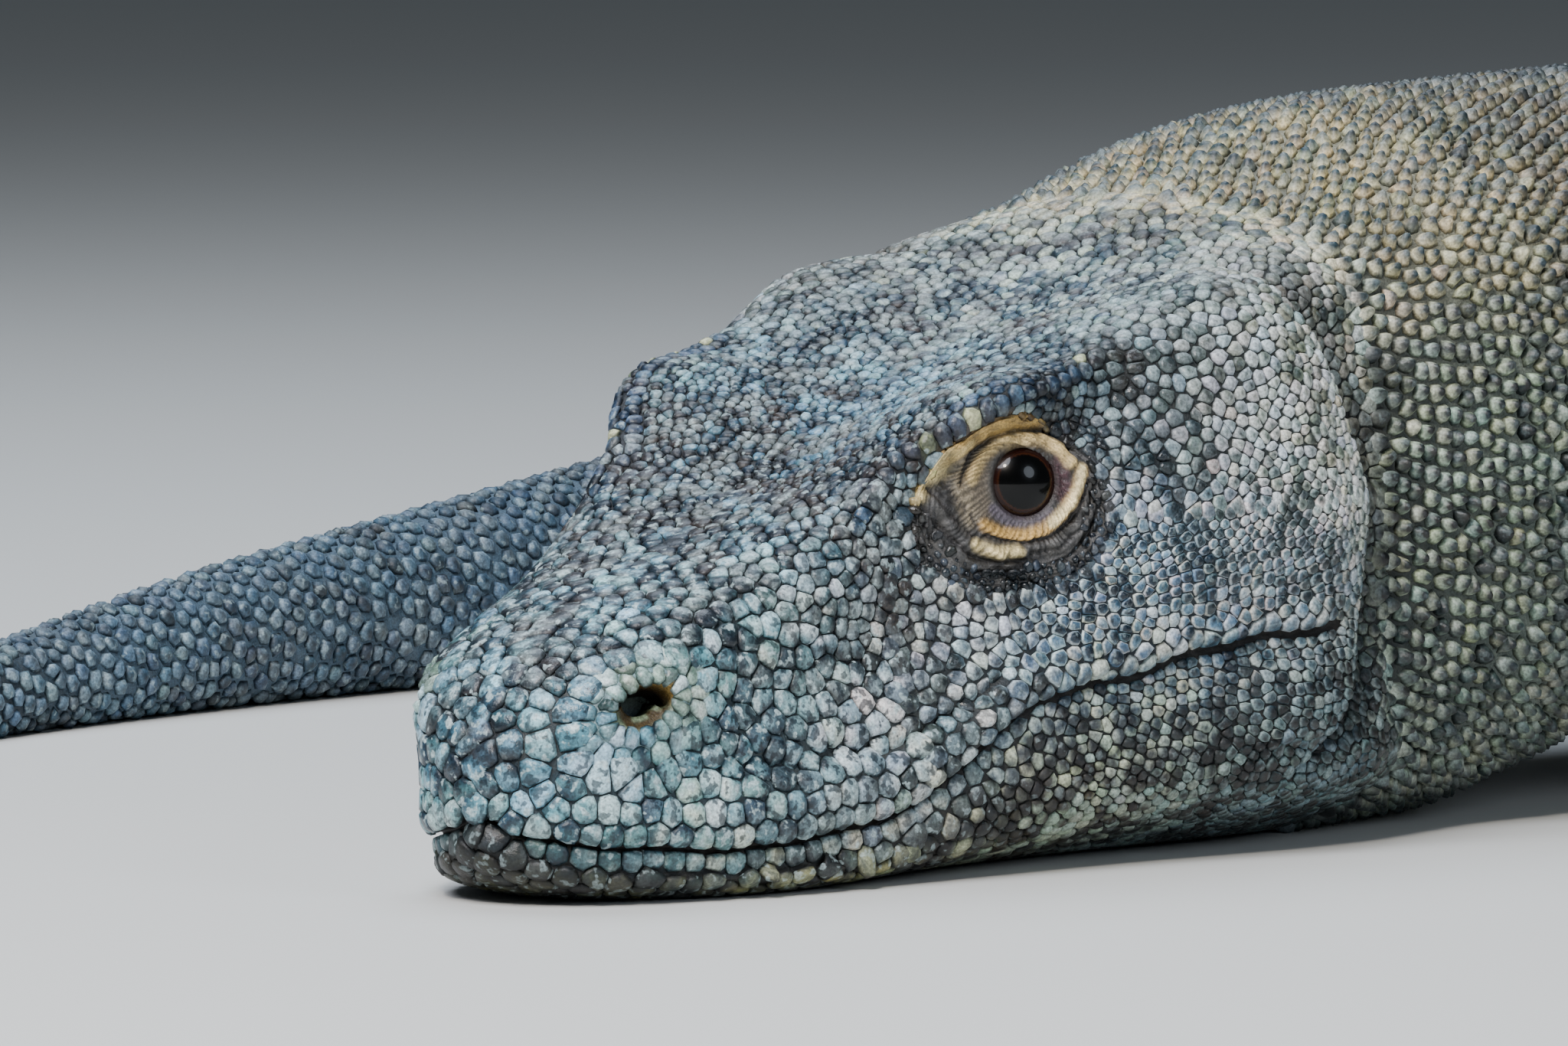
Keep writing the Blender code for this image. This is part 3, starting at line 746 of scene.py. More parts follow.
# --- Limbs -------------------------------------------------------------------
@dataclass(frozen=True)
class Limb:
    """One leg: its path beside the spine, and its digits."""

    name: str
    pieces: tuple
    root: float
    side: int
    joints: tuple
    digits: tuple
    rings: int = 64
    around: int = 40
    digit_rings: int = 22
    digit_around: int = 16
    coat: float = 0.0013
    digit_coat: float = 0.0008
    palm_flatness: float = 0.62
    knuckle_back: float = 0.012
    knuckle_spread: float = 0.022
    digit_root: float = 0.0095
    digit_tip: float = 0.0066
    digit_arch: float = 0.006
    gap: float = 0.0004

    def places(self) -> Array:
        """The joints' places.

        Returns:
            One point for each joint.
        """
        x, y, heading = FORM.spine_at(self.root)
        left = np.array([math.cos(heading), -math.sin(heading), 0.0]) * self.side
        back = np.array([math.sin(heading), math.cos(heading), 0.0])
        base = np.array([float(x), float(y), 0.0])
        up = np.array([0.0, 0.0, 1.0])
        return np.array([base + left * o + back * b + up * h for o, b, h, _ in self.joints])

    def path(self, t: Array) -> tuple:
        """Centre line, radius and flatness at shares t of the limb's length.

        Args:
            t: shares of its length.

        Returns:
            Points, radii and flatness.
        """
        places = self.places()
        knots = run_along(places)
        at = np.asarray(t) * knots[-1]
        line = smooth_through(at, knots, places)
        radius = smooth_through(at, knots, np.array([row[3] for row in self.joints]))
        flat = smooth_through(at, knots, np.array([1.0, 1.0, 0.85, self.palm_flatness]))
        return line, radius, flat

    def surface(self, t: Array, angle: Array) -> Array:
        """Points on the limb's skin at shares t of its length and angles round it.

        Args:
            t: shares of its length.
            angle: angles round it.

        Returns:
            The points.
        """
        t = np.asarray(t, float)
        line, radius, flat = self.path(t)
        ahead, _, _ = self.path(np.minimum(t + 0.01, 1.0))
        behind, _, _ = self.path(np.maximum(t - 0.01, 0.0))
        return tube_point(line, unit(ahead - behind), radius - self.coat, flat, angle)

    def forward(self) -> Array:
        """Level direction in which the palm points."""
        places = self.places()
        ahead = places[3] - places[2]
        ahead[2] = 0.0
        return unit(ahead)

    def digit_line(self, number: int, t: Array, beyond: float = 0.0) -> tuple:
        """Centre line, direction and radius of one digit at shares t of its length.

        Args:
            number: which digit.
            t: shares of its length.
            beyond: how much further out to go.

        Returns:
            Points, one direction and radii.
        """
        length, spread = self.digits[number]
        forward = self.forward()
        turn = -self.side * math.radians(spread)
        heading = np.array([
            forward[0] * math.cos(turn) - forward[1] * math.sin(turn),
            forward[0] * math.sin(turn) + forward[1] * math.cos(turn),
            0.0,
        ])
        outward = np.cross((0.0, 0.0, 1.0), forward) * -self.side
        knuckle = self.places()[3] - forward * self.knuckle_back
        knuckle = knuckle + outward * self.knuckle_spread * math.sin(math.radians(spread))
        t = np.asarray(t, float)
        radius = self.digit_root + (self.digit_tip - self.digit_root) * t
        line = knuckle + heading * ((length + self.knuckle_back) * t + beyond)[..., None]
        line[..., 2] = radius + self.digit_arch * 4 * t * (1 - t) - self.gap
        return line, heading, radius

    def digit_surface(self, number: int, t: Array, angle: Array) -> Array:
        """Points on a digit's skin, with knuckles and a rounded end.

        Args:
            number: which digit.
            t: shares of its length.
            angle: angles round it.

        Returns:
            The points.
        """
        t = np.asarray(t, float)
        line, heading, radius = self.digit_line(number, t)
        knuckles = 1 + 0.07 * np.cos(t * 3 * 2 * math.pi) - 0.02
        closing = np.sqrt(np.clip(1 - smoothstep(t, 0.90, 1.0) ** 2 * 0.75, 0, 1))
        along = np.broadcast_to(heading, line.shape)
        bare = (radius - self.digit_coat) * knuckles * closing
        return tube_point(line, along, bare, np.ones_like(t), angle)

    def make(self) -> list:
        """Closed tubes of the limb and its digits."""
        t, angle = np.meshgrid(np.linspace(0, 1, self.rings), ring_angles(self.around), indexing="ij")
        found = [closed_tube(self.name, self.surface(t, angle))]
        shares = np.linspace(0, 1, self.digit_rings)
        t, angle = np.meshgrid(shares, ring_angles(self.digit_around), indexing="ij")
        for number in range(len(self.digits)):
            found.append(closed_tube(f"{self.name}_{number}", self.digit_surface(number, t, angle)))
        return found


def tube_point(line: Array, along: Array, radius: Array, flat: Array, angle: Array) -> Array:
    """Points round a line, upright, never under the ground.

    Args:
        line: points of the line.
        along: its directions.
        radius: its radii.
        flat: height of the tube as a share of its width.
        angle: angles round the line.

    Returns:
        The points.
    """
    side = unit(np.cross(along, (0.0, 0.0, 1.0)))
    up = np.cross(side, along)
    found = line + side * (radius * np.cos(angle))[..., None]
    found = found + up * (radius * flat * np.sin(angle))[..., None]
    found[..., 2] = np.maximum(found[..., 2], FLOOR_GAP)
    return found


def closed_tube(name: str, rings: Array) -> bpy.types.Object:
    """Rings of points as a closed tube whose faces point out.

    Args:
        name: the object's name.
        rings: points by ring, then by place round it.

    Returns:
        The object.
    """
    count, around = rings.shape[:2]
    flat = rings.reshape(-1, 3)
    points = np.concatenate([flat, [rings[0].mean(0), rings[-1].mean(0)]])
    faces = np.concatenate([
        grid_faces(count, around, True),
        fan(0, around, len(flat), inward=True),
        fan((count - 1) * around, around, len(flat) + 1),
    ])
    return mesh_object(name, points, outward(points, faces))


HAND_DIGITS = ((0.032, -48), (0.044, -22), (0.048, 0), (0.044, 22), (0.032, 48))
FOOT_DIGITS = ((0.032, -46), (0.044, -22), (0.056, -2), (0.064, 20), (0.040, 50))
FORE_PIECES = ("upper_arm", "forearm", "hand")
HIND_PIECES = ("thigh", "shin", "foot")
LIMBS = (
    Limb("left_fore", FORE_PIECES, 0.47, 1,
         ((0.055, 0.000, 0.085, 0.050), (0.165, 0.085, 0.062, 0.038),
          (0.232, -0.008, 0.030, 0.027), (0.262, -0.052, 0.018, 0.027)), HAND_DIGITS),
    Limb("right_fore", FORE_PIECES, 0.47, -1,
         ((0.055, 0.000, 0.085, 0.050), (0.165, 0.080, 0.062, 0.036),
          (0.230, -0.014, 0.030, 0.027), (0.258, -0.060, 0.018, 0.027)), HAND_DIGITS),
    Limb("left_hind", HIND_PIECES, 1.12, 1,
         ((0.050, 0.000, 0.085, 0.058), (0.190, -0.060, 0.080, 0.040),
          (0.262, 0.058, 0.034, 0.028), (0.335, 0.036, 0.018, 0.027)), FOOT_DIGITS),
    Limb("right_hind", HIND_PIECES, 1.12, -1,
         ((0.050, 0.000, 0.085, 0.058), (0.200, -0.015, 0.080, 0.040),
          (0.266, 0.105, 0.034, 0.028), (0.340, 0.087, 0.018, 0.027)), FOOT_DIGITS),
)


# --- Skin --------------------------------------------------------------------
@dataclass
class Skin:
    """The one closed skin, and what the scales need to know of it."""

    blunt: float = 0.020  # length of the snout's rounded end
    blunt_rows: int = 42
    head_rows: int = 175
    head_end: float = 0.262
    body_step: float = 0.008
    body_around: int = 84
    eye_sink: float = 0.0085  # how far the skin is drawn in behind the eyes
    nostril_sink: float = 0.0085
    nostril_half: tuple = (0.0088, 0.0056)
    nostril_far: float = 0.014
    smooth_rounds: int = 14
    smooth_step: float = 0.7
    smooth_reach: float = 0.052  # round the place where a limb leaves the trunk
    leaves_at: float = 0.26  # that place, as a share of the limb's length
    palm_reach: tuple = (0.036, 0.026)
    palm_weight: float = 0.6
    obj: bpy.types.Object | None = None
    bvh: BVHTree | None = None

    def head_columns(self) -> Array:
        """Places round the head, closer together at lips, brow and eye."""
        half = np.concatenate([
            np.linspace(0, 1.7, 20)[:-1], np.linspace(1.7, 2.3, 22)[:-1],
            np.linspace(2.3, 4.3, 38)[:-1], np.linspace(4.3, 5, 9),
        ])
        return np.concatenate([half, ROUND - half[-2:0:-1]])

    def head_stations(self) -> Array:
        """Places along the head, close together at the snout."""
        blunt = self.blunt * np.linspace(0.08, 1, self.blunt_rows) ** 2
        return np.concatenate([blunt, np.linspace(self.blunt, self.head_end, self.head_rows)[1:]])

    def make(self) -> bpy.types.Object:
        """Loft, legs and their union, eased where they meet.

        Returns:
            The skin, with its search tree kept in bvh.
        """
        trunk = self.make_trunk()
        limbs = [tube for limb in LIMBS for tube in limb.make()]
        others = bpy.data.collections.new("limb_tubes")
        bpy.context.scene.collection.children.link(others)
        for tube in limbs:
            bpy.context.scene.collection.objects.unlink(tube)
            others.objects.link(tube)
        union = trunk.modifiers.new("limbs", "BOOLEAN")
        union.operation = "UNION"
        union.solver = "MANIFOLD"
        union.operand_type = "COLLECTION"
        union.collection = others
        apply_modifiers(trunk)
        for tube in limbs:
            bpy.data.objects.remove(tube)
        bpy.data.collections.remove(others)
        self.obj = trunk
        trunk.data.materials.clear()
        self.clean()
        self.ease_joins()
        self.bvh = BVHTree.FromObject(trunk, bpy.context.evaluated_depsgraph_get())
        return trunk

    def make_trunk(self) -> bpy.types.Object:
        """Head, neck, trunk and tail in one closed surface.

        Returns:
            The object.
        """
        columns = self.head_columns()
        stations = self.head_stations()
        s, v = np.meshgrid(stations, columns, indexing="ij")
        head, normal = skin_point(s, v)
        head = self.sink_openings(head, normal, s, rail_of(v))
        round_body = np.arange(self.body_around) * ROUND / self.body_around
        count = round((FORM.total_length - self.head_end) / self.body_step)
        later = np.linspace(self.head_end + self.body_step, FORM.total_length, count)
        s, v = np.meshgrid(later, round_body, indexing="ij")
        body, _ = skin_point(s, v)
        nose = head[0].mean(0)
        tip = body[-1].mean(0)
        points = np.concatenate([head.reshape(-1, 3), body.reshape(-1, 3), [nose, tip]])
        start = head.shape[0] * head.shape[1]
        end = len(points) - 2
        faces = np.concatenate([
            grid_faces(head.shape[0], head.shape[1], True),
            grid_faces(body.shape[0], body.shape[1], True, start),
            zipped(columns, start - len(columns), round_body, start),
            fan(0, len(columns), end, inward=True),
            fan(end - self.body_around, self.body_around, end + 1),
        ])
        return mesh_object("skin", points, outward(points, faces))

    def sink_openings(self, head: Array, normal: Array, s: Array, rail: Array) -> Array:
        """Draw the skin in where eyes and nostrils go, behind their own rims.

        Args:
            head: points of the head.
            normal: directions out of it.
            s: distances along the loft from the snout.
            rail: rail numbers on one side.

        Returns:
            The moved points.
        """
        inside = smoothstep(eye_share(s, rail), 0.93, 0.76)
        head = head - normal * (inside * self.eye_sink)[..., None]
        for side, _ in SIDES:
            along, up = (mirrored(d, side) for d in NOSTRIL_FRAME)
            away = head - mirrored(NOSTRIL_CENTRE, side)
            reach = np.hypot(away @ along / self.nostril_half[0], away @ up / self.nostril_half[1])
            inside = smoothstep(reach, 1.10, 0.75) * (np.linalg.norm(away, axis=-1) < self.nostril_far)
            head = head - mirrored(NOSTRIL_AXIS, side) * (inside * self.nostril_sink)[..., None]
        return head

    def clean(self) -> None:
        """Weld the slivers that the union leaves, and make every face a triangle."""
        bm = bmesh.new()
        bm.from_mesh(self.obj.data)
        bmesh.ops.remove_doubles(bm, verts=bm.verts, dist=0.00005)
        bmesh.ops.dissolve_degenerate(bm, edges=bm.edges, dist=0.00002)
        bmesh.ops.triangulate(bm, faces=bm.faces)
        bm.to_mesh(self.obj.data)
        bm.free()
        self.obj.data.shade_smooth()

    def ease_joins(self) -> None:
        """Smooth the skin where limbs leave the trunk and digits leave the palm."""
        points = read_points(self.obj)
        edges = np.empty(len(self.obj.data.edges) * 2, np.int32)
        self.obj.data.edges.foreach_get("vertices", edges)
        edges = edges.reshape(-1, 2)
        weight = np.zeros(len(points))
        for limb in LIMBS:
            places = limb.places()
            line, _, _ = limb.path(np.array([self.leaves_at]))
            exit_at = np.linalg.norm(points - line[0], axis=1)
            weight = np.maximum(weight, smoothstep(exit_at, self.smooth_reach * 1.6, self.smooth_reach))
            palm = np.linalg.norm(points - places[3], axis=1)
            weight = np.maximum(weight, self.palm_weight * smoothstep(palm, *self.palm_reach))
        count = np.bincount(edges.ravel(), minlength=len(points))[:, None]
        for _ in range(self.smooth_rounds):
            total = np.zeros_like(points)
            np.add.at(total, edges[:, 0], points[edges[:, 1]])
            np.add.at(total, edges[:, 1], points[edges[:, 0]])
            middle = total / np.maximum(count, 1)
            points += (middle - points) * (weight * self.smooth_step)[:, None]
        points[:, 2] = np.maximum(points[:, 2], FLOOR_GAP)
        write_points(self.obj, points)


def zipped(first: Array, first_start: int, second: Array, second_start: int) -> Array:
    """Triangles that join two closed rings whose points lie at rising places 0 to 10.

    Args:
        first: places of the points of one ring.
        first_start: number of its first point.
        second: places of the points of the other.
        second_start: number of its first point.

    Returns:
        The triangles, as point numbers.
    """
    faces = []
    i = j = 0
    n, m = len(first), len(second)
    while i < n or j < m:
        next_first = first[i + 1] if i + 1 < n else ROUND + first[(i + 1) % n]
        next_second = second[j + 1] if j + 1 < m else ROUND + second[(j + 1) % m]
        a, b = first_start + i % n, second_start + j % m
        if j >= m or (i < n and next_first <= next_second):
            faces.append((a, first_start + (i + 1) % n, b))
            i += 1
        else:
            faces.append((a, second_start + (j + 1) % m, b))
            j += 1
    return np.array(faces)


# --- Eyelids and nostrils ----------------------------------------------------
@dataclass
class Opening:
    """Flesh round an eye or nostril, laid as rings over the skin round one axis."""

    side: int
    base: BVHTree
    columns: int = 132
    rings: int = 30
    gloss: float = 0.5

    def grid(self) -> tuple:
        """Share from inner edge (0) to outer (1), and angle (0 at the back, then up), of each point."""
        return np.meshgrid(np.linspace(0, 1, self.rings), ring_angles(self.columns), indexing="ij")

    def surface(self, u: Array, angle: Array) -> Array:
        """Points at shares u of the way out."""
        raise NotImplementedError

    def dress(self, patch: bpy.types.Object) -> None:
        """Give the surface its colours."""
        raise NotImplementedError

    def patch(self, name: str) -> bpy.types.Object:
        """The rings as an open surface that faces outwards.

        Args:
            name: the object's name.

        Returns:
            The object.
        """
        u, angle = self.grid()
        points = self.surface(u, angle)
        faces = grid_faces(*points.shape[:2], True)
        found = mesh_object(name, points.reshape(-1, 3), faces[:, ::-1] if self.side > 0 else faces)
        self.dress(found)
        return found


@dataclass(frozen=True)
class Fold:
    """A ridge, or a crease, of the lids: its line runs in mm back and mm up from the eye."""

    line: tuple
    lift: float  # mm at its middle, below 0 for a crease
    width: float  # mm to each side
    tint: str
    strength: float = 0.9

    def gap(self, places: Array) -> Array:
        """Distance of each place from the line, in mm.

        Args:
            places: places in mm back and mm up from the eye.

        Returns:
            One distance for each place.
        """
        found = np.full(places.shape[:-1], 99.0)
        for start, end in zip(np.array(self.line[:-1]), np.array(self.line[1:])):
            run = end - start
            share = np.clip((places - start) @ run / (run @ run), 0, 1)
            found = np.minimum(found, np.linalg.norm(places - start - share[..., None] * run, axis=-1))
        return found


# Folds with lift below 0 are creases; their near-black and dark brown tints are painted shade in the
# creases.
LID_FOLDS = (
    # Round the eye: ribbed skin in front, dark skin behind, grey skin below.
    Fold(((-8.6, 4.0), (-9.4, 0.0), (-8.6, -4.0)), 0.0, 2.2, "#6a6052"),
    Fold(((-12.5, 3.0), (-13.0, -1.0), (-11.5, -5.5)), 0.2, 2.2, "#8b7f69", 0.8),
    Fold(((7.0, 3.4), (7.8, 0.3), (7.4, -3.0)), -0.2, 1.5, "#3a2127"),
    Fold(((-6.4, -4.6), (-3.4, -6.9), (0.5, -7.3), (4.4, -6.0)), 0.1, 1.1, "#57505a"),
    # Upper lid and the crease over it.
    Fold(
        ((-10.5, 1.3), (-8.2, 5.0), (-4.7, 7.3), (-0.6, 8.0), (3.9, 7.5), (7.9, 5.4), (9.2, 3.2)),
        1.2, 1.35, "#cdb27a",
    ),
    Fold(
        ((-13.1, 0.5), (-10.6, 5.9), (-6.3, 8.9), (-1.0, 9.8), (4.2, 9.3), (9.3, 7.5), (11.0, 4.2)),
        -1.1, 0.50, "#1d130b",
    ),
    # The golden fold under the brow, with its lumps and its own creases.
    Fold(
        ((-23.7, 2.7), (-19.3, 4.6), (-14.6, 6.7), (-8.8, 9.9), (-3.1, 11.3), (3.8, 11.8),
         (11.1, 12.9), (14.5, 15.8)),
        1.2, 1.8, "#c3a05c", 0.92,
    ),
    Fold(((-23.5, 0.5), (-21.7, 3.3), (-18.0, 4.6)), 1.1, 3.1, "#e6cf92", 0.92),
    Fold(((5.0, 11.0), (9.0, 11.7), (12.5, 14.0)), 0.5, 0.9, "#e8d196", 0.9),
    Fold(((-17.0, 4.4), (-13.0, 6.2), (-11.0, 7.6)), 0.4, 0.8, "#dcc184", 0.8),
    Fold(((-16.0, 7.2), (-9.0, 10.8), (-3.0, 12.5), (4.0, 12.9)), -0.5, 0.30, "#452c10", 0.8),
    Fold(((0.0, 11.2), (6.0, 12.3), (11.0, 14.6)), -0.4, 0.25, "#5b3c17", 0.7),
    Fold(((-20.5, 6.4), (-13.2, 9.9), (-6.1, 12.6), (2.5, 14.4), (12.7, 15.8)), -0.9, 0.55, "#2b2015"),
    # Lower lid, the lumps in front of it and their creases.
    Fold(
        ((-8.8, -7.3), (-5.2, -9.0), (-0.7, -9.6), (3.1, -8.7), (7.0, -6.2), (9.8, -2.8), (11.5, 1.4)),
        1.1, 1.25, "#c39b55",
    ),
    Fold(((4.6, -7.6), (8.0, -5.0), (10.2, -2.0), (11.6, 1.8)), 0.2, 1.0, "#ead8a4", 0.85),
    Fold(
        ((-9.0, -9.4), (-0.9, -11.2), (4.3, -10.6), (9.0, -7.7), (11.4, -4.3), (12.8, -0.9)),
        -0.9, 0.45, "#211711",
    ),
    Fold(((-11.3, -10.9), (-7.6, -12.5), (-2.7, -12.6)), 0.9, 1.25, "#d5c18b"),
    Fold(((-12.7, -13.0), (-7.0, -14.4), (-1.1, -14.2)), -0.7, 0.45, "#1c1815"),
    # Wrinkles in front of the eye and below it.
    Fold(((-16.8, 1.0), (-13.4, -3.2), (-9.9, -7.6)), -0.6, 0.35, "#2a2421", 0.8),
    Fold(((-20.1, 0.2), (-15.0, -6.0), (-11.6, -9.4)), -0.7, 0.38, "#221d1b", 0.85),
    Fold(((-23.4, -1.2), (-18.3, -7.2), (-12.4, -12.9)), -0.7, 0.40, "#1f1b1a", 0.85),
    Fold(
        ((0.5, -13.2), (6.0, -12.6), (10.8, -9.2), (13.6, -4.4), (14.6, 0.4)),
        -0.6, 0.40, "#1f1d1d", 0.8,
    ),
    Fold(
        ((-14.5, -15.6), (-7.1, -16.2), (0.2, -16.4), (7.7, -14.6), (13.0, -9.8), (15.6, -3.9)),
        -0.6, 0.42, "#1b1a1b", 0.8,
    ),
    Fold(((13.4, 8.5), (14.6, 4.5), (14.8, 1.0)), -0.7, 0.60, "#1b1c1e"),
)


@dataclass
class Eyelids(Opening):
    """Both lids of one eye: a thick rim round the eyeball, then folds out to the brow."""

    columns: int = 210
    rings: int = 50
    gloss: float = 0.45
    opening: float = math.radians(40.0)
    spread: float = math.radians(55.0)
    rim_lift: float = 0.0009
    sunk: float = 0.0007
    inner: float = 0.32  # share of the lids' outline where the rim lies

    def bare(self, u: Array, angle: Array) -> tuple:
        """Points of the lids before their folds, and the way out from each.

        Args:
            u: shares of the way out.
            angle: angles round it.

        Returns:
            Points and directions.
        """
        axis = mirrored(EYE_AXIS, self.side)
        back, up = (mirrored(d, self.side) for d in EYE_FRAME)
        start = self.opening + np.radians(-1.5 * np.cos(2 * angle) + 1.0 * np.cos(angle))
        tilt = start + self.spread * u
        level = back * np.cos(angle)[..., None] + up * np.sin(angle)[..., None]
        away = axis * np.cos(tilt)[..., None] + level * np.sin(tilt)[..., None]
        rim = EYE_RADIUS + self.rim_lift
        cone = mirrored(EYE_CENTRE, self.side) + away * (rim * (1 + 0.30 * u))[..., None]
        share = self.inner + (1 - self.inner) * u
        turned = np.array([np.cos(angle), np.sin(angle)])
        square = np.sign(turned) * np.abs(turned) ** (2 / LID_SQUARE)
        s = LID_MIDDLE[0] + LID_HALF[0] * share * square[0]
        v = LID_MIDDLE[1] + share * (LID_HALF[1] * square[1] - LID_TILT * square[0])
        hide, normal = skin_point(s, on_side(v, self.side))
        blend = smoothstep(u, 0.03, 0.42)[..., None]
        return cone * (1 - blend) + hide * blend, unit(away * (1 - blend) + normal * blend)

    def surface(self, u: Array, angle: Array) -> Array:
        """Points at shares u from the rim of the lids to where they sink in the skin.

        Args:
            u: shares of the way out.
            angle: angles round it.

        Returns:
            The points.
        """
        found, out = self.bare(u, angle)
        near = smoothstep(u, 1.0, 0.90)
        lift = near * self.folds(self.places(found), u, angle) - self.sunk * (1 - near)
        lift = lift - 0.0016 * np.clip(1 - u / 0.04, 0, 1) ** 2
        return found + out * lift[..., None]

    def places(self, points: Array) -> Array:
        """Where the points lie, in mm back and mm up from the eye."""
        away = (points - mirrored(EYE_CENTRE, self.side)) / MM
        return np.stack([away @ mirrored(d, self.side) for d in EYE_FRAME], -1)

    def ribs(self, u: Array, angle: Array) -> Array:
        """Fine ribs that run out from the eye, from -1 to 1."""
        wander = 2.2 * np.sin(angle * 7) + 1.3 * np.sin(angle * 3 + 1)
        return np.cos(angle * 50 + wander) * smoothstep(u, 0.03, 0.09) * smoothstep(u, 0.60, 0.30)

    def folds(self, places: Array, u: Array, angle: Array) -> Array:
        """Height of the lids' own folds, in metres.

        Args:
            places: places in mm back and mm up from the eye.
            u: shares of the way out.
            angle: angles round it.

        Returns:
            One height for each place.
        """
        out = np.zeros(u.shape)
        for fold in LID_FOLDS:
            out += fold.lift * MM * np.exp(-((fold.gap(places) / fold.width) ** 2))
        wrinkle = np.cos(u * 2 * math.pi * 13 + 2.5 * np.sin(angle * 3)) * smoothstep(u, 0.45, 0.6)
        spots = np.concatenate([places * MM, np.zeros((*u.shape, 1))], -1).reshape(-1, 3)
        lumps = (cloud(spots, 0.0017, 21).reshape(u.shape) - 0.5) * smoothstep(u, 0.15, 0.40)
        return out + 0.00020 * self.ribs(u, angle) + 0.00015 * wrinkle + 0.0011 * lumps

    def tints(self, u: Array, angle: Array) -> Array:
        """Colours of the lids.

        Args:
            u: shares of the way out.
            angle: angles round it.

        Returns:
            One linear colour for each place.
        """
        places = self.places(self.bare(u, angle)[0])
        colour = np.tile(linear("#3f3e3d"), (len(u), 1))
        for fold in LID_FOLDS:
            weight = (fold.strength * np.exp(-((fold.gap(places) / fold.width) ** 4)))[:, None]
            colour = colour * (1 - weight) + linear(fold.tint) * weight
        # Painted shade: the lids' inner edge, where they meet the eyeball, turns near black.
        rim = smoothstep(u, 0.05, 0.0)[:, None] * 0.85
        colour = colour * (1 - rim) + linear("#1c100d") * rim
        spots = np.concatenate([places * MM, np.zeros((len(u), 1))], -1)
        lumps = 1 + 1.1 * (cloud(spots, 0.0017, 21) - 0.5) * smoothstep(u, 0.12, 0.40)
        return colour * ((1 + 0.34 * self.ribs(u, angle)) * np.clip(lumps, 0.45, 1.5))[:, None]

    def dress(self, patch: bpy.types.Object) -> None:
        """Colour the lids, with fine specks."""
        u, angle = (a.ravel() for a in self.grid())
        speckle = 0.70 + 0.6 * cloud(read_points(patch), 0.0008, 9)
        store(patch.data, "tint", self.tints(u, angle) * speckle[:, None])
        store(patch.data, "gloss", np.full(len(u), self.gloss))


@dataclass
class Nostril(Opening):
    """One nostril: a swollen rim, a floor that slopes in and a dark pocket above it."""

    columns: int = 72
    rings: int = 26
    half: tuple = (0.0070, 0.0043)
    inner: float = 0.12
    outer: float = 1.95

    def reach(self, u: Array) -> Array:
        """Distance from the middle at shares u of the way out, 1 at the opening's edge."""
        return self.inner + (self.outer - self.inner) * u

    def floor_share(self, angle: Array) -> Array:
        """How far the pocket is the sloping floor (1) or the dark roof (0)."""
        return smoothstep(-np.sin(angle + 0.55), -0.45, 0.35)

    def surface(self, u: Array, angle: Array) -> Array:
        """Points at shares u from the bottom of the pocket to where the rim sinks in the skin.

        Args:
            u: shares of the way out.
            angle: angles round it.

        Returns:
            The points.
        """
        axis = mirrored(NOSTRIL_AXIS, self.side)
        along, up = (mirrored(d, self.side) for d in NOSTRIL_FRAME)
        centre = mirrored(NOSTRIL_CENTRE, self.side)
        reach = self.reach(u)
        low = self.floor_share(angle)
        lift = np.clip(1 - reach, 0, 1) * 0.95
        flat = centre + along * (self.half[0] * (reach * np.cos(angle) + 0.25 * lift))[..., None]
        flat = flat + up * (self.half[1] * (reach * np.sin(angle) + lift))[..., None]
        height = np.array([self.height(p, axis) for p in flat.reshape(-1, 3)]).reshape(u.shape)
        for _ in range(2):
            height = (np.roll(height, 1, -1) + 2 * height + np.roll(height, -1, -1)) / 4
        steep = -0.0085 * smoothstep(reach, 1.0, 0.62)
        sloped = -0.0016 * smoothstep(reach, 1.0, 0.66) - 0.0078 * smoothstep(reach, 0.60, 0.28)
        rim = 0.0010 * bump(reach, 1.22, 0.20) - 0.0007 * smoothstep(reach, 1.70, self.outer)
        rim = rim + 0.00025 * np.cos(angle * 11) * bump(reach, 1.30, 0.25)
        height = height + rim + steep * (1 - low) + sloped * low
        return flat + axis * height[..., None]

    def dress(self, patch: bpy.types.Object) -> None:
        """Colour the rim and the pocket, with painted shade inside the pocket."""
        points = read_points(patch)
        u, angle = (a.ravel() for a in self.grid())
        reach = self.reach(u)
        low = self.floor_share(angle)[:, None]
        stain = smoothstep(cloud(points, 0.0019, 4), 0.42, 0.60)[:, None]
        floor = linear("#8a9c80") * (1 - stain) + linear("#4f4128") * stain
        # Painted shade inside the nostril: the pocket's roof is near black and the whole pocket darkens
        # towards its bottom.
        inner = floor * low + linear("#1a1410") * (1 - low)
        inner = inner * smoothstep(reach, 0.40, 0.66)[:, None]
        golden = smoothstep(np.sin(angle) + 0.5 * np.cos(angle), -0.3, 0.4)[:, None]
        edge = linear("#c9a560") * golden + linear("#90a795") * (1 - golden)
        ring = linear("#6d868a") * (0.5 + cloud(points, 0.0022, 8))[:, None]
        colour = inner + (edge - inner) * smoothstep(reach, 0.80, 0.98)[:, None]
        colour = colour + (ring - colour) * smoothstep(reach, 1.02, 1.22)[:, None]
        store(patch.data, "tint", colour)
        store(patch.data, "gloss", np.full(len(u), self.gloss))

    def height(self, point: Array, axis: Array) -> float:
        """How far the skin lies out from the point, along the axis."""
        hit = self.base.ray_cast(Vector(point + axis * 0.012), Vector(-axis), 0.03)[3]
        return 0.0 if hit is None else 0.012 - hit


# --- Markings ----------------------------------------------------------------
@dataclass(frozen=True)
class Patch:
    """Markings round one place: (s, rail), dark, middle and pale tone, how the rims differ."""

    s: float
    rail: float
    dark: str
    middle: str
    pale: str
    rim: float = 0.0  # above 0 the rims of the scales are paler than their middles
    gloss: float = 0.4
    width: float = 1.0
    fleck: float = 0.15  # how strongly dark flecks break the scales' tones
    core: float = 0.5  # how far out the middle tone of a scale reaches before its rim's
    dusty: float = 0.05  # how much brown dust and pale crust lies on the scales


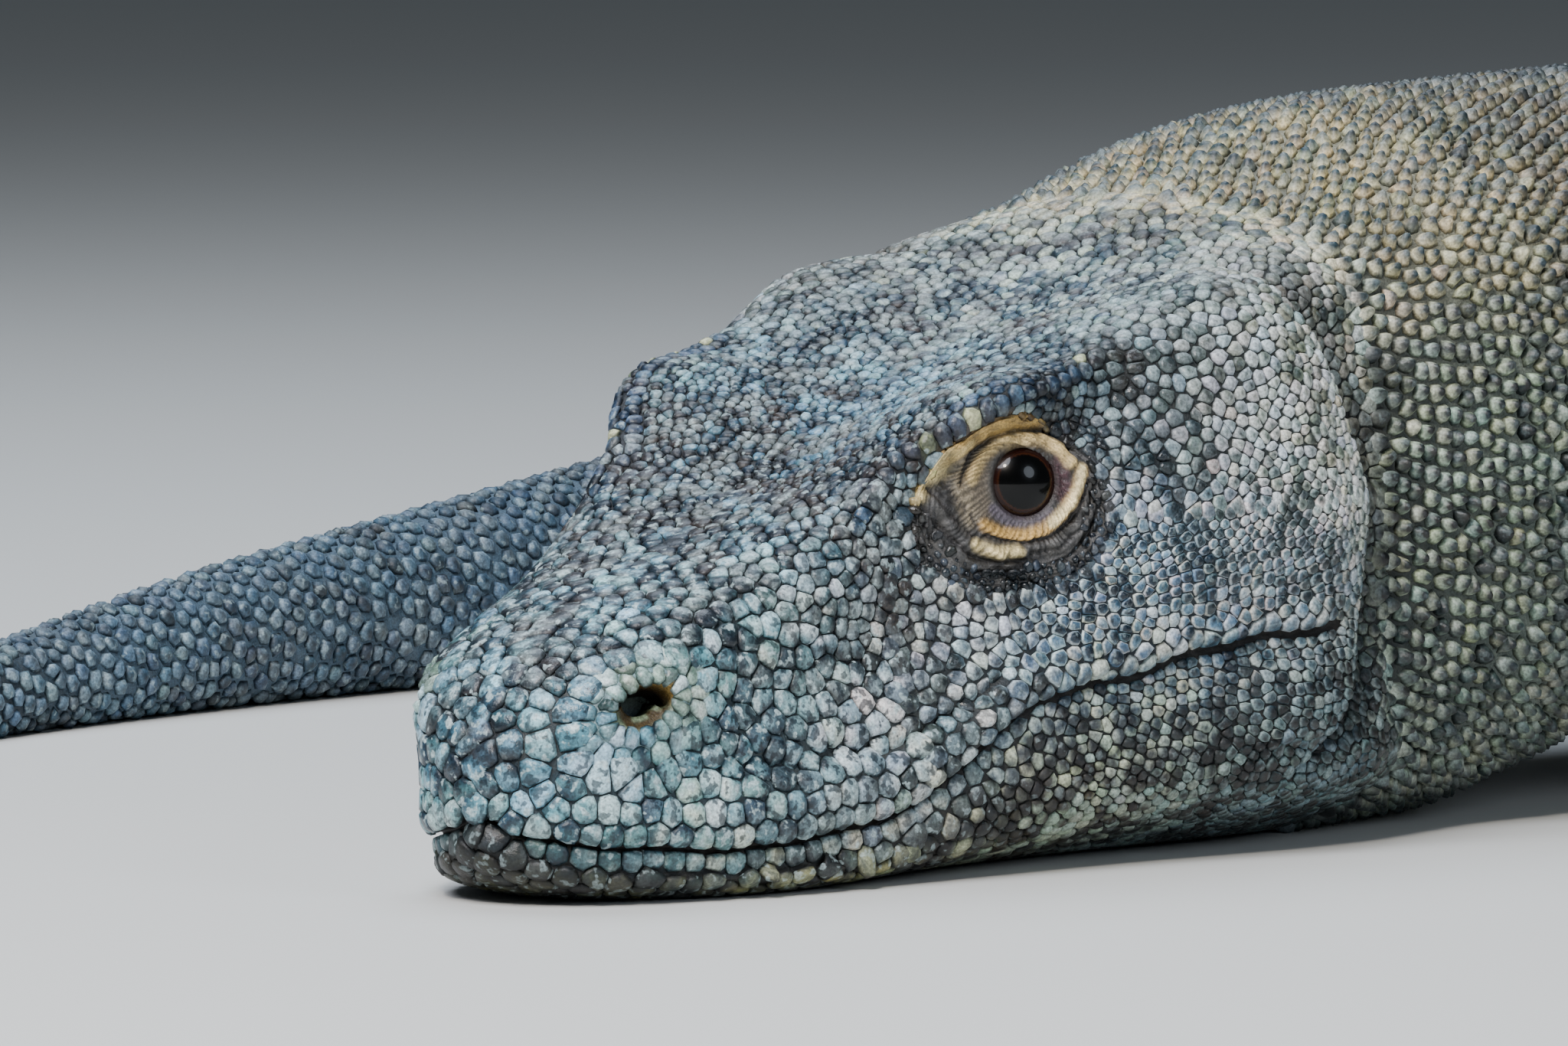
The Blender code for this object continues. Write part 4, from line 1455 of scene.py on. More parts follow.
MARKINGS = (
    Patch(0.004, 3.4, "#0b0b18", "#164969", "#52aacf", -0.2, 0.75, 1.0, 0.7, 0.5, 0.2),
    Patch(0.028, 3.4, "#2a3c42", "#86b4b8", "#e2e9e4", -0.2, 0.85, 1.0, 0.7, 0.5, 0.15),
    Patch(0.030, 2.5, "#2b495d", "#79b1ba", "#d2e7e7", -0.2, 0.75, 1.0, 0.8, 0.5, 0.1),
    Patch(0.070, 2.4, "#444c4b", "#afc3cb", "#e7e7e7", -0.1, 0.75, 1.0, 0.95, 0.5, 0.1),
    Patch(0.050, 4.4, "#0b121f", "#2a404e", "#aedde7", -0.1, 0.65, 1.0, 0.7, 0.5, 0.5),
    Patch(0.080, 4.7, "#0b0b0b", "#0c1c2d", "#3b6482", 0.0, 0.55, 1.0, 0.5, 0.5, 0.4),
    Patch(0.120, 4.7, "#0b1119", "#2b4658", "#88b3c5", 0.0, 0.55, 1.0, 0.4, 0.5, 0.6),
    Patch(0.160, 4.6, "#0b1b2b", "#3b5565", "#b1c4bd", 0.1, 0.45, 1.0, 0.4, 0.5, 0.75),
    Patch(0.108, 4.05, "#0b0f18", "#293a48", "#b5cab6", -0.3, 0.5, 0.4, 0.15, 0.5, 0.3),
    Patch(0.135, 3.7, "#0b0b0b", "#0b0b0f", "#394b5b", -0.2, 0.95, 0.95, 0.05, 0.5, 0.0),
    Patch(0.160, 3.9, "#0d1724", "#304352", "#9caaa7", 0.5, 0.85, 0.8, 0.15, 0.6, 0.2),
    Patch(0.172, 3.5, "#56615b", "#c7caaf", "#e7e7e7", 0.7, 0.55, 1.0, 0.15, 0.5, 0.2),
    Patch(0.165, 2.8, "#1a2325", "#73868a", "#e7e7e7", 0.9, 0.85, 1.0, 0.2, 0.72, 0.1),
    Patch(0.140, 2.6, "#1e3343", "#7ea7c5", "#e7e7e7", 0.9, 0.95, 1.0, 0.25, 0.8, 0.05),
    Patch(0.112, 2.8, "#0b0b11", "#1f334b", "#cfe5e7", 0.8, 0.95, 1.0, 0.3, 0.8, 0.1),
    Patch(0.074, 3.3, "#0b0b0e", "#3a4851", "#d4dce1", 0.0, 0.65, 0.7, 0.6, 0.5, 0.6),
    Patch(0.098, 3.1, "#0b0b0b", "#2e3136", "#e7e7e7", 0.0, 0.9, 0.6, 0.15, 0.5, 0.3),
    Patch(0.060, 1.6, "#110f0b", "#2f3017", "#8c8b57", 0.0, 0.5, 1.0, 0.4, 0.5, 0.2),
    # Lower jaw at the front: its own dark tone, darkened further as painted shade under the overhanging
    # upper lip.
    Patch(0.012, 1.5, "#0b0b0b", "#0b0b0b", "#171a15", 0.0, 0.5, 0.8, 0.3, 0.5, 0.1),
    Patch(0.120, 1.4, "#0b0b0b", "#2a2211", "#a8b49f", 0.0, 0.4, 1.0, 0.15, 0.5, 0.1),
    # Under the mouth's corner: dark tones that also carry painted shade under the lip.
    Patch(0.165, 1.2, "#0b0b0b", "#122324", "#6d8286", 0.7, 0.45, 1.0, 0.15, 0.7, 0.1),
    Patch(0.205, 2.8, "#0b0b0b", "#12242d", "#b3c1aa", 0.9, 0.5, 1.0, 0.1, 0.6, 0.1),
    Patch(0.225, 4.4, "#23353c", "#6e7366", "#ccc19b", 0.9, 0.5, 1.0, 0.1, 0.6, 0.3),
    Patch(0.300, 4.4, "#161f22", "#4c5048", "#928b72", 0.9, 0.5, 1.0, 0.1, 0.6, 0.3),
    Patch(0.240, 1.6, "#141f20", "#42504d", "#99a392", 0.9, 0.5, 1.0, 0.1, 0.6, 0.1),
    Patch(0.450, 3.5, "#171c1d", "#444a45", "#7c7966", 0.9, 0.4, 2.0, 0.1, 0.6, 0.3),
    Patch(0.450, 1.0, "#1f1e19", "#504e42", "#867f6a", 0.9, 0.4, 2.0, 0.1, 0.6, 0.2),
)
BODY_MARKINGS = (
    (0.60, "#161c1c", "#505750", "#8c8873"), (1.20, "#171d1f", "#4c534f", "#807c6b"),
    (1.70, "#1b2429", "#465359", "#737f85"), (2.10, "#1c2a35", "#3a4f61", "#617787"),
    (2.60, "#233541", "#435c6f", "#6f899a"),
)
PATCH_S = 0.020  # reach of a patch along the loft, and in rails
PATCH_RAIL = 0.50
BODY_RIM = 0.55
BODY_GLOSS = 0.35


def markings_at(s: Array, rail: Array) -> dict:
    """Tones, rim contrast and gloss at places of the loft, with painted shade in the crease behind the jaw.

    Args:
        s: distance from the snout.
        rail: rail number on one side.

    Returns:
        Arrays "dark", "middle", "pale" of colours, and "rim", "gloss" of numbers.
    """
    away = [
        ((s - p.s) / (PATCH_S * p.width)) ** 2 + ((rail - p.rail) / (PATCH_RAIL * p.width)) ** 2
        for p in MARKINGS
    ]
    hills = [np.exp(-square / 2) for square in away]
    tails = [1 / ((s - p.s) ** 2 + (0.04 * (rail - p.rail)) ** 2 + 1e-4) for p in MARKINGS]
    weights = np.stack(hills, 1) + 1e-9 * np.stack(tails, 1)
    weights /= weights.sum(1, keepdims=True)
    found = {key: weights @ np.array([linear(getattr(p, key)) for p in MARKINGS]) for key in TONES}
    for key in ("rim", "gloss", "fleck", "core", "dusty"):
        found[key] = weights @ np.array([getattr(p, key) for p in MARKINGS])
    later = smoothstep(s, 0.42, 0.60)
    knots = np.array([row[0] for row in BODY_MARKINGS])
    for column, key in enumerate(TONES, 1):
        tones = np.array([linear(row[column]) for row in BODY_MARKINGS])
        body = np.stack([np.interp(s, knots, tones[:, c]) for c in range(3)], 1)
        found[key] = found[key] * (1 - later)[:, None] + body * later[:, None]
    for key, value in (("rim", BODY_RIM), ("gloss", BODY_GLOSS)):
        found[key] = found[key] * (1 - later) + value * later
    # Painted shade: tones darken in and just behind the crease behind the jaw.
    behind = s - fold_line(rail)
    shade = 0.78 * fold_strength(rail) * smoothstep(behind, -0.0012, 0.0008)
    shade = 1 - shade * smoothstep(behind, 0.024, 0.013)
    for key in TONES:
        found[key] = found[key] * shade[:, None]
    return found


# --- Scales ------------------------------------------------------------------
class Cut(Enum):
    """How finely a scale is made: points round it, then (share out, height) of its rings."""

    FINE = (12, ((1.0, None), (0.955, 0.56), (0.76, 0.92)))
    SMALL = (8, ((1.0, None), (0.93, 0.50), (0.66, 0.90)))
    BEAD = (8, ((1.0, None), (0.74, 0.36), (0.38, 0.82)))
    PLAIN = (7, ((1.0, None), (0.78, 0.62)))
    COARSE = (6, ((1.0, None), (0.78, 0.62)))


SEED_ARRAYS = ("points", "normals", "lie", "pitch", "unwrap")


@dataclass
class Seeds:
    """Where scales grow: one row of each array for each scale."""

    points: Array
    normals: Array
    lie: Array
    pitch: Array
    unwrap: Array
    tones: dict

    @classmethod
    def joined(cls, parts: list) -> "Seeds":
        """Several sets as one.

        Args:
            parts: the sets, in order.

        Returns:
            One set.
        """
        arrays = [np.concatenate([getattr(p, key) for p in parts]) for key in SEED_ARRAYS]
        tones = {key: np.concatenate([p.tones[key] for p in parts]) for key in parts[0].tones}
        return cls(*arrays, tones)

    def kept(self, keep: Array) -> "Seeds":
        """Only those rows."""
        arrays = [getattr(self, key)[keep] for key in SEED_ARRAYS]
        return Seeds(*arrays, {key: value[keep] for key, value in self.tones.items()})

    def __len__(self) -> int:
        """How many scales."""
        return len(self.points)


def thinned(points: Array, pitch: Array, share: float, fixed: int = 0) -> Array:
    """Numbers of the points left when each, in turn, clears those too near it.

    Args:
        points: points, one row each.
        pitch: distance that each wants round it.
        share: part of it that it gets.
        fixed: how many of the first can not be cleared.

    Returns:
        The numbers.
    """
    tree = tree_of(points)
    alive = np.ones(len(points), bool)
    reach = (pitch * share).tolist()
    rows = points.tolist()
    for i in range(len(points)):
        if not alive[i]:
            continue
        for _, j, _ in tree.find_range(rows[i], reach[i]):
            if j > i and j >= fixed:
                alive[j] = False
    return np.flatnonzero(alive)


def stretched(points: Array) -> Array:
    """The points drawn out upwards behind the snout, so that scales on the cheeks grow longer than high."""
    tall = 1 + 0.35 * smoothstep(points[:, 1], 0.070, 0.120)
    return points * np.stack([np.ones_like(tall), np.ones_like(tall), tall], 1)


def head_pitch(s: Array, rail: Array, points: Array) -> Array:
    """Distance between scales on the head, in metres.

    Args:
        s: distances along the loft from the snout.
        rail: rail numbers on one side.
        points: the same places in space.

    Returns:
        One distance for each place.
    """
    spots = (
        (0.010, 3.6, 4.8), (0.035, 3.4, 4.3), (0.035, 4.6, 3.9), (0.060, 4.4, 3.1), (0.075, 3.3, 2.9),
        (0.060, 2.6, 4.4), (0.090, 4.7, 2.5), (0.110, 4.6, 2.2), (0.150, 4.6, 2.6), (0.110, 4.0, 2.6),
        (0.105, 2.7, 3.0), (0.135, 3.7, 3.3), (0.150, 3.9, 3.3), (0.135, 2.9, 2.8), (0.165, 3.2, 2.4),
        (0.175, 2.4, 2.4), (0.175, 3.9, 2.7), (0.060, 1.5, 4.0), (0.120, 1.4, 2.9), (0.170, 1.2, 2.5),
        (0.020, 1.5, 4.4), (0.100, 0.3, 3.8), (0.200, 3.0, 3.4), (0.200, 4.6, 3.3), (0.200, 1.0, 2.8),
    )
    pulls = [1 / (((s - a) / 0.02) ** 2 + ((rail - b) / 0.5) ** 2 + 0.05) ** 2 for a, b, _ in spots]
    weights = np.stack(pulls, 1)
    pitch = weights @ np.array([c for _, _, c in spots]) / weights.sum(1) * MM
    distance = eye_distance(points)
    return pitch + (0.0021 - pitch) * smoothstep(distance, 0.0235, 0.0170)


HEAD_SPAN = (0.0, 0.206)  # the stretch of the loft whose scales belong to the head
LEG_TONES = ("#1b201e", "#454942", "#7d7a68")
LEG_LOOK = {"rim": 0.3, "gloss": 0.35, "fleck": 0.1, "core": 0.5, "dusty": 0.05}
LID_LOOK = {"rim": -0.2, "gloss": 0.85, "fleck": 0.0, "core": 0.5, "dusty": 0.0}
STEP_BACK = 0.88  # distance between rows of scales, as a share of their pitch


@dataclass
class Sower:
    """Lays out the seeds of every scale over the finished skin."""

    skin: Skin
    rng: np.random.Generator = field(default_factory=lambda: np.random.default_rng(11))
    tries: int = 120000  # places on the head that a scale may take
    crowding: float = 0.84  # nearest that two scales of the head may be, as a share of their pitch
    relax_rounds: int = 3

    # How far along the loft each stretch of body scales runs, and their pitch.
    stretches: tuple = (
        ("neck", 0.204, 0.420, 0.0040, 0.0052), ("chest", 0.420, 0.640, 0.0054, 0.0074),
        ("belly", 0.640, 0.860, 0.0076, 0.0084), ("loin", 0.860, 1.080, 0.0084, 0.0080),
        ("hips", 1.080, 1.330, 0.0080, 0.0070), ("tail_front", 1.330, 1.700, 0.0068, 0.0058),
        ("tail_rear", 1.700, 2.592, 0.0058, 0.0042),
    )

    def on_skin(self, points: Array, furthest: float) -> tuple:
        """Nearest places of the skin, its directions there, and which are near enough.

        Args:
            points: points, one row each.
            furthest: distance over which a point is off the skin.

        Returns:
            Places, directions and truth values.
        """
        places = np.empty_like(points)
        normals = np.empty_like(points)
        near = np.zeros(len(points), bool)
        for i, point in enumerate(points.tolist()):
            place, normal, _, distance = self.skin.bvh.find_nearest(point)
            places[i], normals[i] = place, normal
            near[i] = distance < furthest
        return places, normals, near

    def head(self) -> Seeds:
        """Rows along the lips and brow, then evenly scattered scales between them.

        Returns:
            The seeds.
        """
        rows = self.lip_rows() + self.brow_rows()
        fixed = np.concatenate([np.stack([s, v], 1) for s, v, _ in rows])
        fixed_pitch = np.concatenate([np.full(len(s), p) for s, _, p in rows])
        loose = self.scattered(self.tries, 0.00001, HEAD_SPAN[1])
        points, _ = skin_point(loose[:, 0], loose[:, 1])
        loose, points = self.clear_of_lips(loose, points)
        pitch = head_pitch(loose[:, 0], rail_of(loose[:, 1]), points)
        fixed_points, _ = skin_point(fixed[:, 0], fixed[:, 1])
        every = np.concatenate([fixed_points, points])
        every_pitch = np.concatenate([fixed_pitch, pitch])
        order = thinned(stretched(every), every_pitch, self.crowding, len(fixed))
        chosen = order[order >= len(fixed)] - len(fixed)
        chosen = self.relaxed(stretched(points), pitch, stretched(fixed_points), chosen)
        where = np.concatenate([fixed, loose[chosen]])
        pitch = np.concatenate([fixed_pitch, pitch[chosen]])
        return self.mark_brow(self.loft_seeds(where[:, 0], where[:, 1], pitch, HEAD_SPAN))

    def mark_brow(self, seeds: Seeds) -> Seeds:
        """Make the plates on the brow's edge slate blue, some of them pale yellow green.

        Args:
            seeds: the scales of the head.

        Returns:
            The same seeds.
        """
        s = (seeds.unwrap[:, 0] - UV_EDGE) / UV_SPAN * HEAD_SPAN[1]
        rail = rail_of((seeds.unwrap[:, 1] - UV_EDGE) / UV_SPAN * ROUND)
        edge = (np.abs(rail - ledge_rail(s) - 0.07) < 0.13) & (s > 0.074) & (s < 0.131)
        light = edge & (self.rng.random(len(seeds)) < 0.30) & (s > 0.086) & (rail < ledge_rail(s) + 0.08)
        tones = zip(TONES, ("#0a121b", "#1f3042", "#566b80"), ("#5f6a50", "#98a07c", "#cdd0aa"))
        for key, slate, yellow in tones:
            seeds.tones[key][edge] = linear(slate)
            seeds.tones[key][light] = linear(yellow)
        seeds.tones["gloss"][edge] = 0.65
        return seeds

    def scattered(self, count: int, start: float, end: float) -> Array:
        """Random (s, v) places, even over the skin's area.

        Args:
            count: how many.
            start: where it starts.
            end: where it ends.

        Returns:
            Rows of (s, v).
        """
        roots = np.linspace(math.sqrt(start), math.sqrt(end), 401)
        s, v = np.meshgrid(roots**2, np.linspace(0, ROUND, 301), indexing="ij")
        points, _ = skin_point(s, v % ROUND)
        along, around = np.diff(points, axis=0)[:, :-1], np.diff(points, axis=1)[:-1]
        area = np.linalg.norm(np.cross(along, around), axis=-1).ravel()
        cell = self.rng.choice(len(area), count, p=area / area.sum())
        row, column = np.divmod(cell, 300)
        row = row + self.rng.random(count)
        s = np.interp(row, np.arange(401), roots) ** 2
        return np.stack([s, (column + self.rng.random(count)) / 30], 1)

    def clear_of_lips(self, loose: Array, points: Array) -> tuple:
        """Drop loose places inside the mouth line and the crease behind the jaw.

        Args:
            loose: rows of (s, v).
            points: the same places in space.

        Returns:
            What is left of both.
        """
        s, rail = loose[:, 0], rail_of(loose[:, 1])
        lips = (np.abs(mouth_gap(s, rail)) < 0.0014 + 0.0008 * (s < 0.008)) & (s < MOUTH_END)
        behind = s - fold_line(rail)
        crease = (behind > 0.0004) & (behind < 0.0042) & (fold_strength(rail) > 0.4)
        keep = ~lips & ~crease
        return loose[keep], points[keep]

    def relaxed(self, points: Array, pitch: Array, fixed: Array, chosen: Array) -> Array:
        """Move each loose scale towards the middle of the places nearest it, a few times.

        Args:
            points: every place that a scale may take.
            pitch: distance between scales at each.
            fixed: scales that stay where they are.
            chosen: numbers of the places taken.

        Returns:
            Numbers of the places taken after it.
        """
        everywhere = tree_of(points)
        weight = 1 / pitch**3
        for _ in range(self.relax_rounds):
            seeds = np.concatenate([fixed, points[chosen]])
            owner = nearest(tree_of(seeds), points, Hit.NUMBER)
            total = np.stack([np.bincount(owner, weight * points[:, c], len(seeds)) for c in range(3)], 1)
            mass = np.bincount(owner, weight, len(seeds))
            middle = total[len(fixed):] / np.maximum(mass[len(fixed):], 1e-9)[:, None]
            chosen = np.unique(nearest(everywhere, middle, Hit.NUMBER))
        return chosen

    def along_rail(self, start: float, end: float, pitch: float, rail_at) -> tuple:
        """Places at an even pitch along a line of the loft.

        Args:
            start: where it starts.
            end: where it ends.
            pitch: distance between scales.
            rail_at: gives the line as v at s.

        Returns:
            The places, s and v.
        """
        s = np.linspace(start, end, 600)
        points, _ = skin_point(s, rail_at(s))
        run = run_along(points)
        even = np.arange(pitch / 2, run[-1], pitch)
        found = np.interp(even, run, s)
        return found, rail_at(found)

    def lip_rows(self) -> list:
        """Rows of scales over and under the mouth line, and the rows on cheek and throat that follow it.

        Returns:
            For each row: s, v and pitch.
        """
        front = [(2.5, 0.0046, 0.003, 0.105), (6.7, 0.0044, 0.003, 0.105), (-3.1, 0.0044, 0.003, 0.105)]
        rear = [(2.1, 0.0040, 0.105, 0.176), (5.2, 0.0036, 0.105, 0.180), (-2.0, 0.0029, 0.105, 0.172)]
        rear += [(8.0 + 2.45 * k, 0.0031 - 0.00005 * k, 0.118 - 0.001 * k, 0.184) for k in range(14)]
        rear += [(-4.4 - 2.2 * k, 0.0030, 0.108 + 0.001 * k, 0.180) for k in range(12)]
        rows = []
        for number, (offset, pitch, start, end) in enumerate(front + rear):
            def rail_at(s: Array, offset: float = offset) -> Array:
                return mouth_rail(s) + offset * MM / np.clip(0.018 + 0.12 * s, 0.018, 0.036)
            for side, _ in SIDES:
                s, v = self.along_rail(start + pitch / 2 * (number % 2), end, pitch, rail_at)
                shake = self.rng.normal(0, 0.10, (2, len(s)))
                s = s + shake[0] * pitch
                v = v + shake[1] * pitch / 0.034
                size = pitch * (0.84 if offset > 6.8 or offset < -3.5 else 1.0)
                rows.append((s, on_side(v, side), size))
        return rows

    def brow_rows(self) -> list:
        """Rows of plates on the brow's edge.

        Returns:
            For each row: s, v and pitch.
        """
        rows = []
        for above, pitch in ((0.0, 0.0034), (0.15, 0.0031), (0.28, 0.0028)):
            s, v = self.along_rail(0.076, 0.130, pitch, lambda s, above=above: ledge_rail(s) + above)
            rows += [(s, on_side(v, side), pitch) for side, _ in SIDES]
        return rows

    def loft_seeds(self, s: Array, v: Array, pitch: Array, span: tuple) -> Seeds:
        """Seeds at places of the loft, put on the skin; those off it are dropped.

        Args:
            s: distances along the loft from the snout.
            v: places round the body, 0 to 10.
            pitch: distance between scales.
            span: stretch of the loft that the bake map covers.

        Returns:
            The seeds.
        """
        points, _ = skin_point(s, v)
        ds = 0.0012
        dv = 0.03
        ahead, _ = skin_point(s + ds, v)
        behind, _ = skin_point(np.maximum(s - ds, 0.00005), v)
        left, _ = skin_point(s, (v + dv) % ROUND)
        right, _ = skin_point(s, (v - dv) % ROUND)
        lie = unit(ahead - behind)
        normals = unit(np.cross(lie, left - right))
        in_eye = eye_share(s, rail_of(v)) < 0.97
        reach = ellipse_reach(points, NOSTRIL_CENTRE, *NOSTRIL_FRAME, (0.0064, 0.0040))
        in_nostril = (reach < 1.86) & (s < 0.045)
        places, _, near = self.on_skin(points, 0.0040)
        keep = near & ~in_eye & ~in_nostril
        rail = rail_of(v)
        tones = markings_at(s, rail)
        along = UV_EDGE + UV_SPAN * (s - span[0]) / (span[1] - span[0])
        unwrap = np.stack([along, UV_EDGE + UV_SPAN * v / ROUND], 1)
        return Seeds(places, normals, lie, pitch, unwrap, tones).kept(keep)

    def body(self, start: float, end: float, first: float, last: float) -> Seeds:
        """Staggered rows of scales between two places of the loft.

        Args:
            start: where it starts.
            end: where it ends.
            first: pitch at the start.
            last: pitch at the end.

        Returns:
            The seeds.
        """
        where = []
        s = start
        row = 0
        round_about = np.linspace(0, ROUND, 241)
        while s < end:
            pitch = first + (last - first) * (s - start) / (end - start)
            ring = FORM.point(np.full_like(round_about, s), round_about % ROUND)
            run = run_along(ring)
            top = np.interp(5.0, round_about, run)
            count = int(run[-1] / pitch)
            jitter = self.rng.normal(0, 0.13, (2, count))
            at = top + (np.arange(count) - count // 2 + 0.5 * (row % 2) + jitter[1]) * run[-1] / count
            v = np.interp(at % run[-1], run, round_about) % ROUND
            where.append(np.stack([np.full(count, s) + jitter[0] * pitch, v, np.full(count, pitch)], 1))
            s += pitch * STEP_BACK
            row += 1
        s, v, pitch = np.concatenate(where).T
        s = np.clip(s, start, min(end, FORM.total_length - 0.004))
        return self.loft_seeds(s, v, pitch, (start, end))

    def tube_rows(self, surface: Callable, radius_at: Callable, length: float, pitch: float,
                  step: float, fill: float, spread: tuple) -> list:
        """Staggered rows of scales down one tube.

        Args:
            surface: gives the tube's points at shares of its length and angles.
            radius_at: gives its radius at a share of its length.
            length: its length.
            pitch: distance between scales.
            step: share of the length over which the way down the tube is found.
            fill: share of its girth that sets how many scales go round it.
            spread: where its bake map starts, and how wide it is.

        Returns:
            For each row: points, ways back and round, pitches and places on the bake map.
        """
        rows = []
        total = int(length / (pitch * STEP_BACK))
        for row in range(total):
            t = (row + 0.5) / total
            count = max(6, int(2 * math.pi * radius_at(np.array([t])) * fill / pitch))
            angle = ring_angles(count, 0.5 * (row % 2))
            share = np.full(count, t)
            back = surface(np.minimum(share + step, 1), angle) - surface(np.maximum(share - step, 0), angle)
            around = surface(share, angle + 0.05) - surface(share, angle - 0.05)
            across = UV_EDGE + UV_SPAN * (angle / (2 * math.pi) % 1)
            unwrap = np.stack([spread[0] + spread[1] * share, across], 1)
            rows.append((surface(share, angle), back, around, np.full(count, pitch), unwrap))
        return rows

    def limb(self, limb: Limb, pitch: float = 0.0066, digit_pitch: float = 0.0037) -> Seeds:
        """Staggered rows of scales down a leg and along its digits.

        Args:
            limb: the leg.
            pitch: distance between scales.
            digit_pitch: distance between scales on the digits.

        Returns:
            The seeds.
        """
        length = run_along(limb.places())[-1]
        rows = self.tube_rows(limb.surface, lambda t: limb.path(t)[1][0], length, pitch,
                              0.01, 0.9, (UV_EDGE, 0.55))
        for number in range(len(limb.digits)):
            surface = partial(limb.digit_surface, number)
            length = limb.digits[number][0] + limb.knuckle_back
            spread = (0.60 + 0.075 * number, 0.066)
            rows += self.tube_rows(surface, lambda t, number=number: limb.digit_line(number, t)[2][0],
                                   length, digit_pitch, 0.02, 1.0, spread)
        points, lie, around, pitches, unwrap = (np.concatenate(column) for column in zip(*rows))
        lie = unit(lie)
        places, skin_normals, near = self.on_skin(points, 0.0060)
        normals = unit(np.cross(lie, unit(around)))
        flip = np.sign(np.einsum("ij,ij->i", normals, skin_normals))
        normals = unit(normals * flip[:, None] + 0.5 * skin_normals)
        pale = 0.35 + 0.3 * cloud(points, 0.05, 5)
        tones = {key: np.tile(linear(code), (len(points), 1)) for key, code in zip(TONES, LEG_TONES)}
        tones["middle"] = tones["middle"] * (0.7 + pale)[:, None]
        tones |= {key: np.full(len(points), value) for key, value in LEG_LOOK.items()}
        return Seeds(places, normals, lie, pitches, unwrap, tones).kept(near)

    def lid(self, lids: Eyelids, pitch: float = 0.0020) -> Seeds:
        """Small beads on the outer part of the lids, below and behind the eye.

        Args:
            lids: the lids of one eye.
            pitch: distance between scales.

        Returns:
            The seeds.
        """
        parts = []
        round_about = np.linspace(0, 2 * math.pi, 241)
        for row, u in enumerate((0.60, 0.70, 0.80, 0.90, 0.985)):
            ring = lids.surface(np.full_like(round_about, u), round_about)
            run = run_along(ring)
            count = int(run[-1] / pitch)
            at = (np.arange(count) + 0.5 * (row % 2)) * run[-1] / count
            angle = np.interp(at, run, round_about)
            away = (np.degrees(angle) - 275 + 180) % 360 - 180
            angle = angle[(np.abs(away) < 60 + 60 * u) | (u > 0.95)]
            share = np.full(len(angle), u) + self.rng.normal(0, 0.008, len(angle))
            point = lids.surface(share, angle)
            out = lids.surface(share + 0.02, angle) - lids.surface(share - 0.02, angle)
            around = lids.surface(share, angle + 0.05) - lids.surface(share, angle - 0.05)
            normal = unit(np.cross(around, out)) * -lids.side
            away = np.abs((np.degrees(angle) - 285 + 180) % 360 - 180)
            slate = 0.85 - 0.75 * smoothstep(away, 62, 84)[:, None]
            colour = lids.tints(share, angle) * (1 - slate) + linear("#3a434c") * slate
            across = UV_EDGE + 0.44 * (angle / (2 * math.pi)) + (0.5 if lids.side < 0 else 0)
            unwrap = np.stack([UV_EDGE + 0.9 * share, across], 1)
            tones = {"dark": colour * 0.22, "middle": colour * 0.8, "pale": np.minimum(colour * 1.9, 0.9)}
            tones |= {key: np.full(len(angle), value) for key, value in LID_LOOK.items()}
            parts.append(Seeds(point, normal, unit(around), np.full(len(angle), pitch), unwrap, tones))
        return Seeds.joined(parts)

    def nostril(self, opening: Nostril) -> Seeds:
        """Rings of plates on the swollen rim.

        Args:
            opening: the nostril.

        Returns:
            The seeds.
        """
        parts = []
        for reach, count, pitch in ((1.27, 16, 0.0029), (1.74, 18, 0.0036)):
            angle = ring_angles(count, 0.5 * self.rng.random())
            share = np.full(count, (reach - opening.inner) / (opening.outer - opening.inner))
            point = opening.surface(share, angle)
            out = opening.surface(share + 0.03, angle) - opening.surface(share - 0.03, angle)
            around = opening.surface(share, angle + 0.1) - opening.surface(share, angle - 0.1)
            normal = unit(np.cross(around, out)) * -opening.side
            s = 0.024 + 0.0064 * reach * np.cos(angle)
            rail = 3.30 + 0.22 * reach * np.sin(angle)
            v = on_side(rail, opening.side)
            unwrap = np.stack([UV_EDGE + UV_SPAN * s / HEAD_SPAN[1], UV_EDGE + UV_SPAN * v / ROUND], 1)
            tones = markings_at(s, rail)
            mint = smoothstep(np.cos(angle - 0.6), -0.5, 0.3)[:, None] * 0.75
            for key, tone in zip(TONES, ("#5d7468", "#a8bfae", "#e2eadb")):
                tones[key] = tones[key] * (1 - mint) + linear(tone) * mint
            tones["fleck"] = tones["fleck"] * 0.3
            parts.append(Seeds(point, normal, unit(out), np.full(count, pitch), unwrap, tones))
        return Seeds.joined(parts)


def shadow_lines() -> Array:
    """Points down the middle of the mouth line and of the crease behind the jaw.

    Returns:
        The points of both sides.
    """
    s = np.linspace(0.0005, MOUTH_END, 500)
    rail = mouth_rail(s) - 0.02
    found = [skin_point(s, v)[0] for v in (rail, ROUND - rail)]
    rail = np.linspace(1.3, 4.25, 300)
    s = fold_line(rail) + 0.0022
    found += [skin_point(s, v)[0] for v in (rail, ROUND - rail)]
    return np.concatenate(found)


CELL_POWER = 14  # how sharp the corners between neighbours are
CELL_LEAST = 0.35  # least distance to a neighbour's border, in halves of the pitch
CELL_MOST = 1.75  # and the furthest that a scale reaches
LINE_HALF = 0.0007  # half the width of a shadow line that stays free


